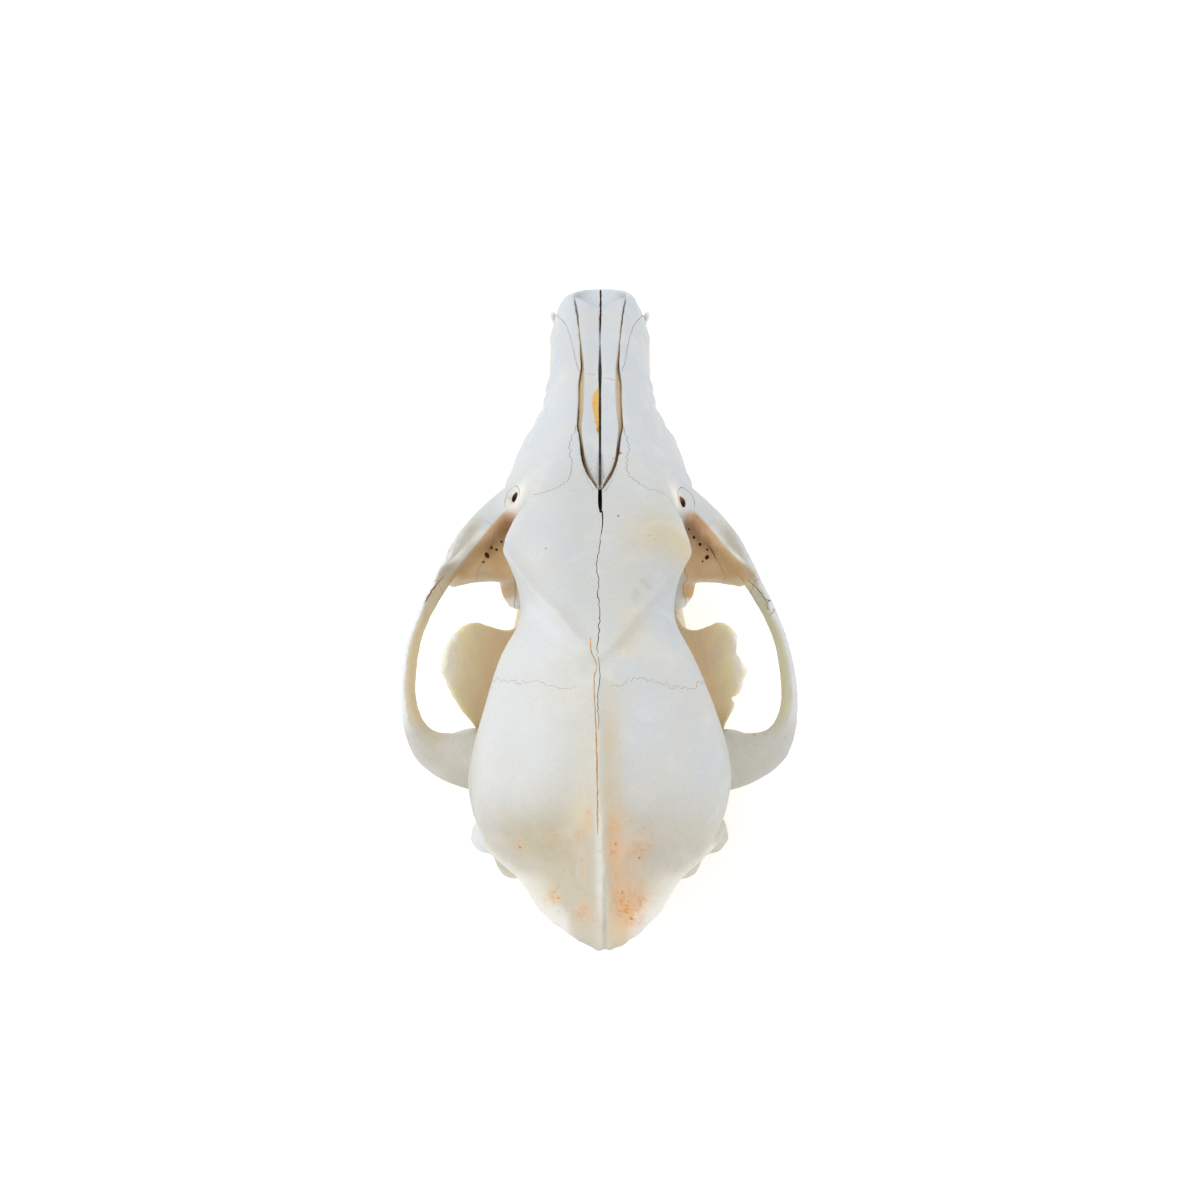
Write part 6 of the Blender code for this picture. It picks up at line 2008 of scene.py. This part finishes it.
def bone_material(name, glow=0.0):
    """Dry bone: the tone of the place, with clouds, stains, pores and a fine grain.

    `glow` is the share of light that spreads inside a thin bone."""
    n = Nodes(name)
    colour = n.attribute("tone").outputs["Color"]
    for size, detail, distortion, low, high, strength, tone in BONE_CLOUDS:
        colour = n.tint(n.ramp(n.noise(size, detail, distortion), low, high), strength, colour, tone)
    rust = n.attribute("rust").outputs["Fac"]
    warm = n.ramp(n.noise(0.0018, 3.0, 0.5), 0.3, 0.62, 0.15, 0.8)
    colour = n.tint(rust, warm, colour, PEACH)
    flecks = n.ramp(n.noise(0.0009, 6.0, 1.2), 0.47, 0.62, 0.0, 0.8)
    colour = n.tint(rust, flecks, colour, ORANGE)
    grit = n.ramp(n.noise(0.0007, 3.0), 0.25, 0.75, 0.975, 1.02)
    gray = n.add("ShaderNodeCombineColor")
    for socket in gray.inputs:
        n.join(grit, socket)
    colour = n.mix(1.0, colour, gray.outputs["Color"], "MULTIPLY")
    grain = n.attribute("grain").outputs["Fac"]
    speck = n.ramp(n.noise(0.0011, 2.0, 0.6), 0.66, 0.74)
    colour = n.tint(speck, n.maths("MULTIPLY", grain, 0.45), colour, SPECK)
    stain = n.attribute("stain").outputs["Fac"]
    stain = n.maths("MULTIPLY", stain, n.ramp(n.noise(0.0012, 4.0, 0.5), 0.25, 0.7, 0.45, 1.25))
    colour = n.tint(n.ramp(stain, 0.02, 0.5), 0.85, colour, STAIN_LIGHT)
    colour = n.tint(n.ramp(stain, 0.4, 1.05), 0.92, colour, STAIN_DARK)
    n.set_colour(colour)
    n.set_roughness(0.003, 4.0, 0.5, 0.72)
    pores = n.ramp(n.cells(0.0009), 0.05, 0.32)
    height = n.maths("ADD", n.maths("MULTIPLY", n.noise(0.0005, 3.0), 0.6), n.noise(0.0016, 4.0, 0.4))
    height = n.maths("ADD", height, n.maths("MULTIPLY", pores, 0.5))
    height = n.maths("MULTIPLY", height, n.maths("ADD", grain, 0.12))
    n.set_bump(height, 0.5, 0.00022)
    n.shader.inputs["Specular IOR Level"].default_value = 0.35
    n.shader.inputs["Subsurface Weight"].default_value = glow
    n.shader.inputs["Subsurface Radius"].default_value = (1.0, 0.6, 0.35)
    n.shader.inputs["Subsurface Scale"].default_value = 0.004
    return n.material


def seam_material(name, light, dark):
    """The walls of the sutures, cracks and small holes; the darkest look is partly dirt and partly painted
    shade inside them.
    """
    n = Nodes(name)
    cloud = n.ramp(n.noise(0.0014, 4.0, 0.5), 0.3, 0.7)
    n.set_colour(n.mix(cloud, linear(*light), linear(*dark)))
    n.set_roughness(0.002, 3.0, 0.7, 0.9)
    n.set_bump(n.noise(0.0005, 3.0), 0.5, 0.0001)
    return n.material


def enamel_material():
    n = Nodes("enamel_ivory")
    colour = n.attribute("tone").outputs["Color"]
    colour = n.tint(n.ramp(n.noise(0.0016, 4.0, 0.6), 0.4, 0.7), 0.3, colour, TOOTH_NECK)
    colour = n.tint(n.attribute("stain").outputs["Fac"], n.noise(0.001, 3.0), colour, STAIN_DARK)
    n.set_colour(colour)
    n.set_roughness(0.0015, 3.0, 0.22, 0.42)
    n.set_bump(n.noise(0.0008, 4.0, 0.8), 0.25, 0.0001)
    return n.material


# Pose and placing
def at_rest():
    """From the anatomical frame to metres, with the jaw on the floor and the box centred on the origin."""
    turn = Matrix.Rotation(-REST_PITCH, 4, "X")
    shift = Matrix.Translation((0.0, -BOX_MIDDLE, -FLOOR_LEVEL))
    return Matrix.Diagonal((UNIT, UNIT, UNIT, 1.0)) @ shift @ turn


def placed(obj, name, materials, tones_of, nodes, slot):
    """Coloured, turned to rest and tied to the solids that the piece stands for."""
    write_tones(obj, tones_of)
    obj.name = name
    obj.data.name = name
    indices = np.empty(len(obj.data.polygons), np.int32)
    obj.data.polygons.foreach_get("material_index", indices)
    obj.data.materials.clear()
    for material in materials:
        obj.data.materials.append(material)
    obj.data.polygons.foreach_set("material_index", np.minimum(indices, len(materials) - 1))
    obj.data.transform(at_rest())
    obj.data.shade_smooth()
    obj.data.set_sharp_from_angle(angle=SHARP_ANGLE)
    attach(obj, "root")
    if nodes:
        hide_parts(*nodes)
    return obj


def cut_at_floor(obj):
    """The part of the jaw below the floor taken off, so that it stands on flats."""
    under = box("under_floor", (-100.0, -200.0, -100.0), (100.0, 200.0, 0.0))
    to_metres = Matrix.Diagonal((MILLIMETRE, MILLIMETRE, MILLIMETRE, 1.0))
    under.data.transform(at_rest().inverted() @ to_metres)
    return boolean(obj, [under])


# Stage
def floor():
    """A large pale sheet of paper, which glows a little so that it stays white."""
    bpy.ops.mesh.primitive_plane_add(size=FLOOR_SIZE, location=(0.0, 0.0, 0.0))
    plane = bpy.context.object
    plane.name = "floor"
    n = Nodes("floor_paper")
    cloud = n.noise(0.2, 3.0)
    n.join(n.mix(cloud, FLOOR_TONE, tuple(0.99 * c for c in FLOOR_TONE)), n.shader.inputs["Base Color"])
    n.join(n.ramp(n.noise(0.05, 3.0), 0.3, 0.7, 0.85, 0.95), n.shader.inputs["Roughness"])
    n.shader.inputs["Specular IOR Level"].default_value = 0.1
    n.shader.inputs["Emission Color"].default_value = (1.0, 1.0, 1.0, 1.0)
    n.shader.inputs["Emission Strength"].default_value = FLOOR_GLOW
    plane.data.materials.append(n.material)


def soft_light(name, place, size, power):
    light = bpy.data.lights.new(name, "AREA")
    light.shape = "DISK"
    light.size = size
    light.energy = power
    obj = bpy.data.objects.new(name, light)
    obj.location = place
    obj.rotation_euler = (-Vector(place)).to_track_quat("-Z", "Y").to_euler()
    bpy.context.scene.collection.objects.link(obj)


def lighting():
    world = bpy.data.worlds.new("studio")
    world.use_nodes = True
    background = world.node_tree.nodes["Background"]
    background.inputs["Color"].default_value = (1.0, 1.0, 1.0, 1.0)
    background.inputs["Strength"].default_value = SKY_STRENGTH
    bpy.context.scene.world = world
    for light in LIGHTS:
        soft_light(*light)


def camera():
    lens = bpy.data.cameras.new("camera")
    lens.sensor_width = SENSOR_WIDTH
    lens.lens = FOCAL_LENGTH
    obj = bpy.data.objects.new("camera", lens)
    obj.location = CAMERA_PLACE
    obj.rotation_euler = [math.radians(a) for a in CAMERA_TURN]
    bpy.context.scene.collection.objects.link(obj)
    bpy.context.scene.camera = obj


def main():
    for obj in list(bpy.data.objects):
        bpy.data.objects.remove(obj)
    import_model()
    skull = skull_body()
    nasals = {side: nasal_bone(skull, side) for side in ("left", "right")}
    boolean(skull, bed_cutters())
    skull = with_slots(bent(fused("skull", [skull], FINE_VOXEL, smoothing=2)))
    smooth_places(skull)
    upper_sculpt(skull)
    surface = surface_of(skull)
    boolean(skull, fine_cutters(surface))
    bones = divided(skull)
    for side, bone in nasals.items():
        upper_sculpt(with_slots(bent(bone)))
        boolean(bone, nasal_cutters(surface_of(bone), side))
        bones[f"nasal_{side}"] = bone
    seams = [seam_material(*look) for look in SEAM_LOOKS]
    skull_bone = [bone_material("skull_bone"), *seams]
    muzzle_bone = [bone_material("muzzle_bone"), *seams]
    jaw_bone = [bone_material("jaw_bone", JAW_GLOW), *seams]
    enamel = [enamel_material()]
    for name, bone in bones.items():
        front = name == "rostrum" or name.startswith("nasal")
        look, slot = (muzzle_bone, "muzzle_bone") if front else (skull_bone, "skull_bone")
        placed(bone, name, look, skull_tones, [name], slot)
    placed(nose_bones(), "nose_bones", muzzle_bone, skull_tones, [], "muzzle_bone")
    for side in ("left", "right"):
        upper = bent(teeth(UPPER_TEETH, side))
        placed(upper, f"upper_teeth_{side}", enamel, tooth_tones, [], "enamel")
        bone = cut_at_floor(leaned(jaw(side)))
        placed(bone, f"mandible_{side}", jaw_bone, jaw_tones, [f"mandible_{side}"], "jaw_bone")
        lower = leaned(teeth(LOWER_TEETH, side, WORN_TIP))
        placed(lower, f"lower_teeth_{side}", enamel, tooth_tones, [], "enamel")
    floor()
    lighting()
    camera()
    bpy.context.scene.view_settings.view_transform = "Standard"


main()
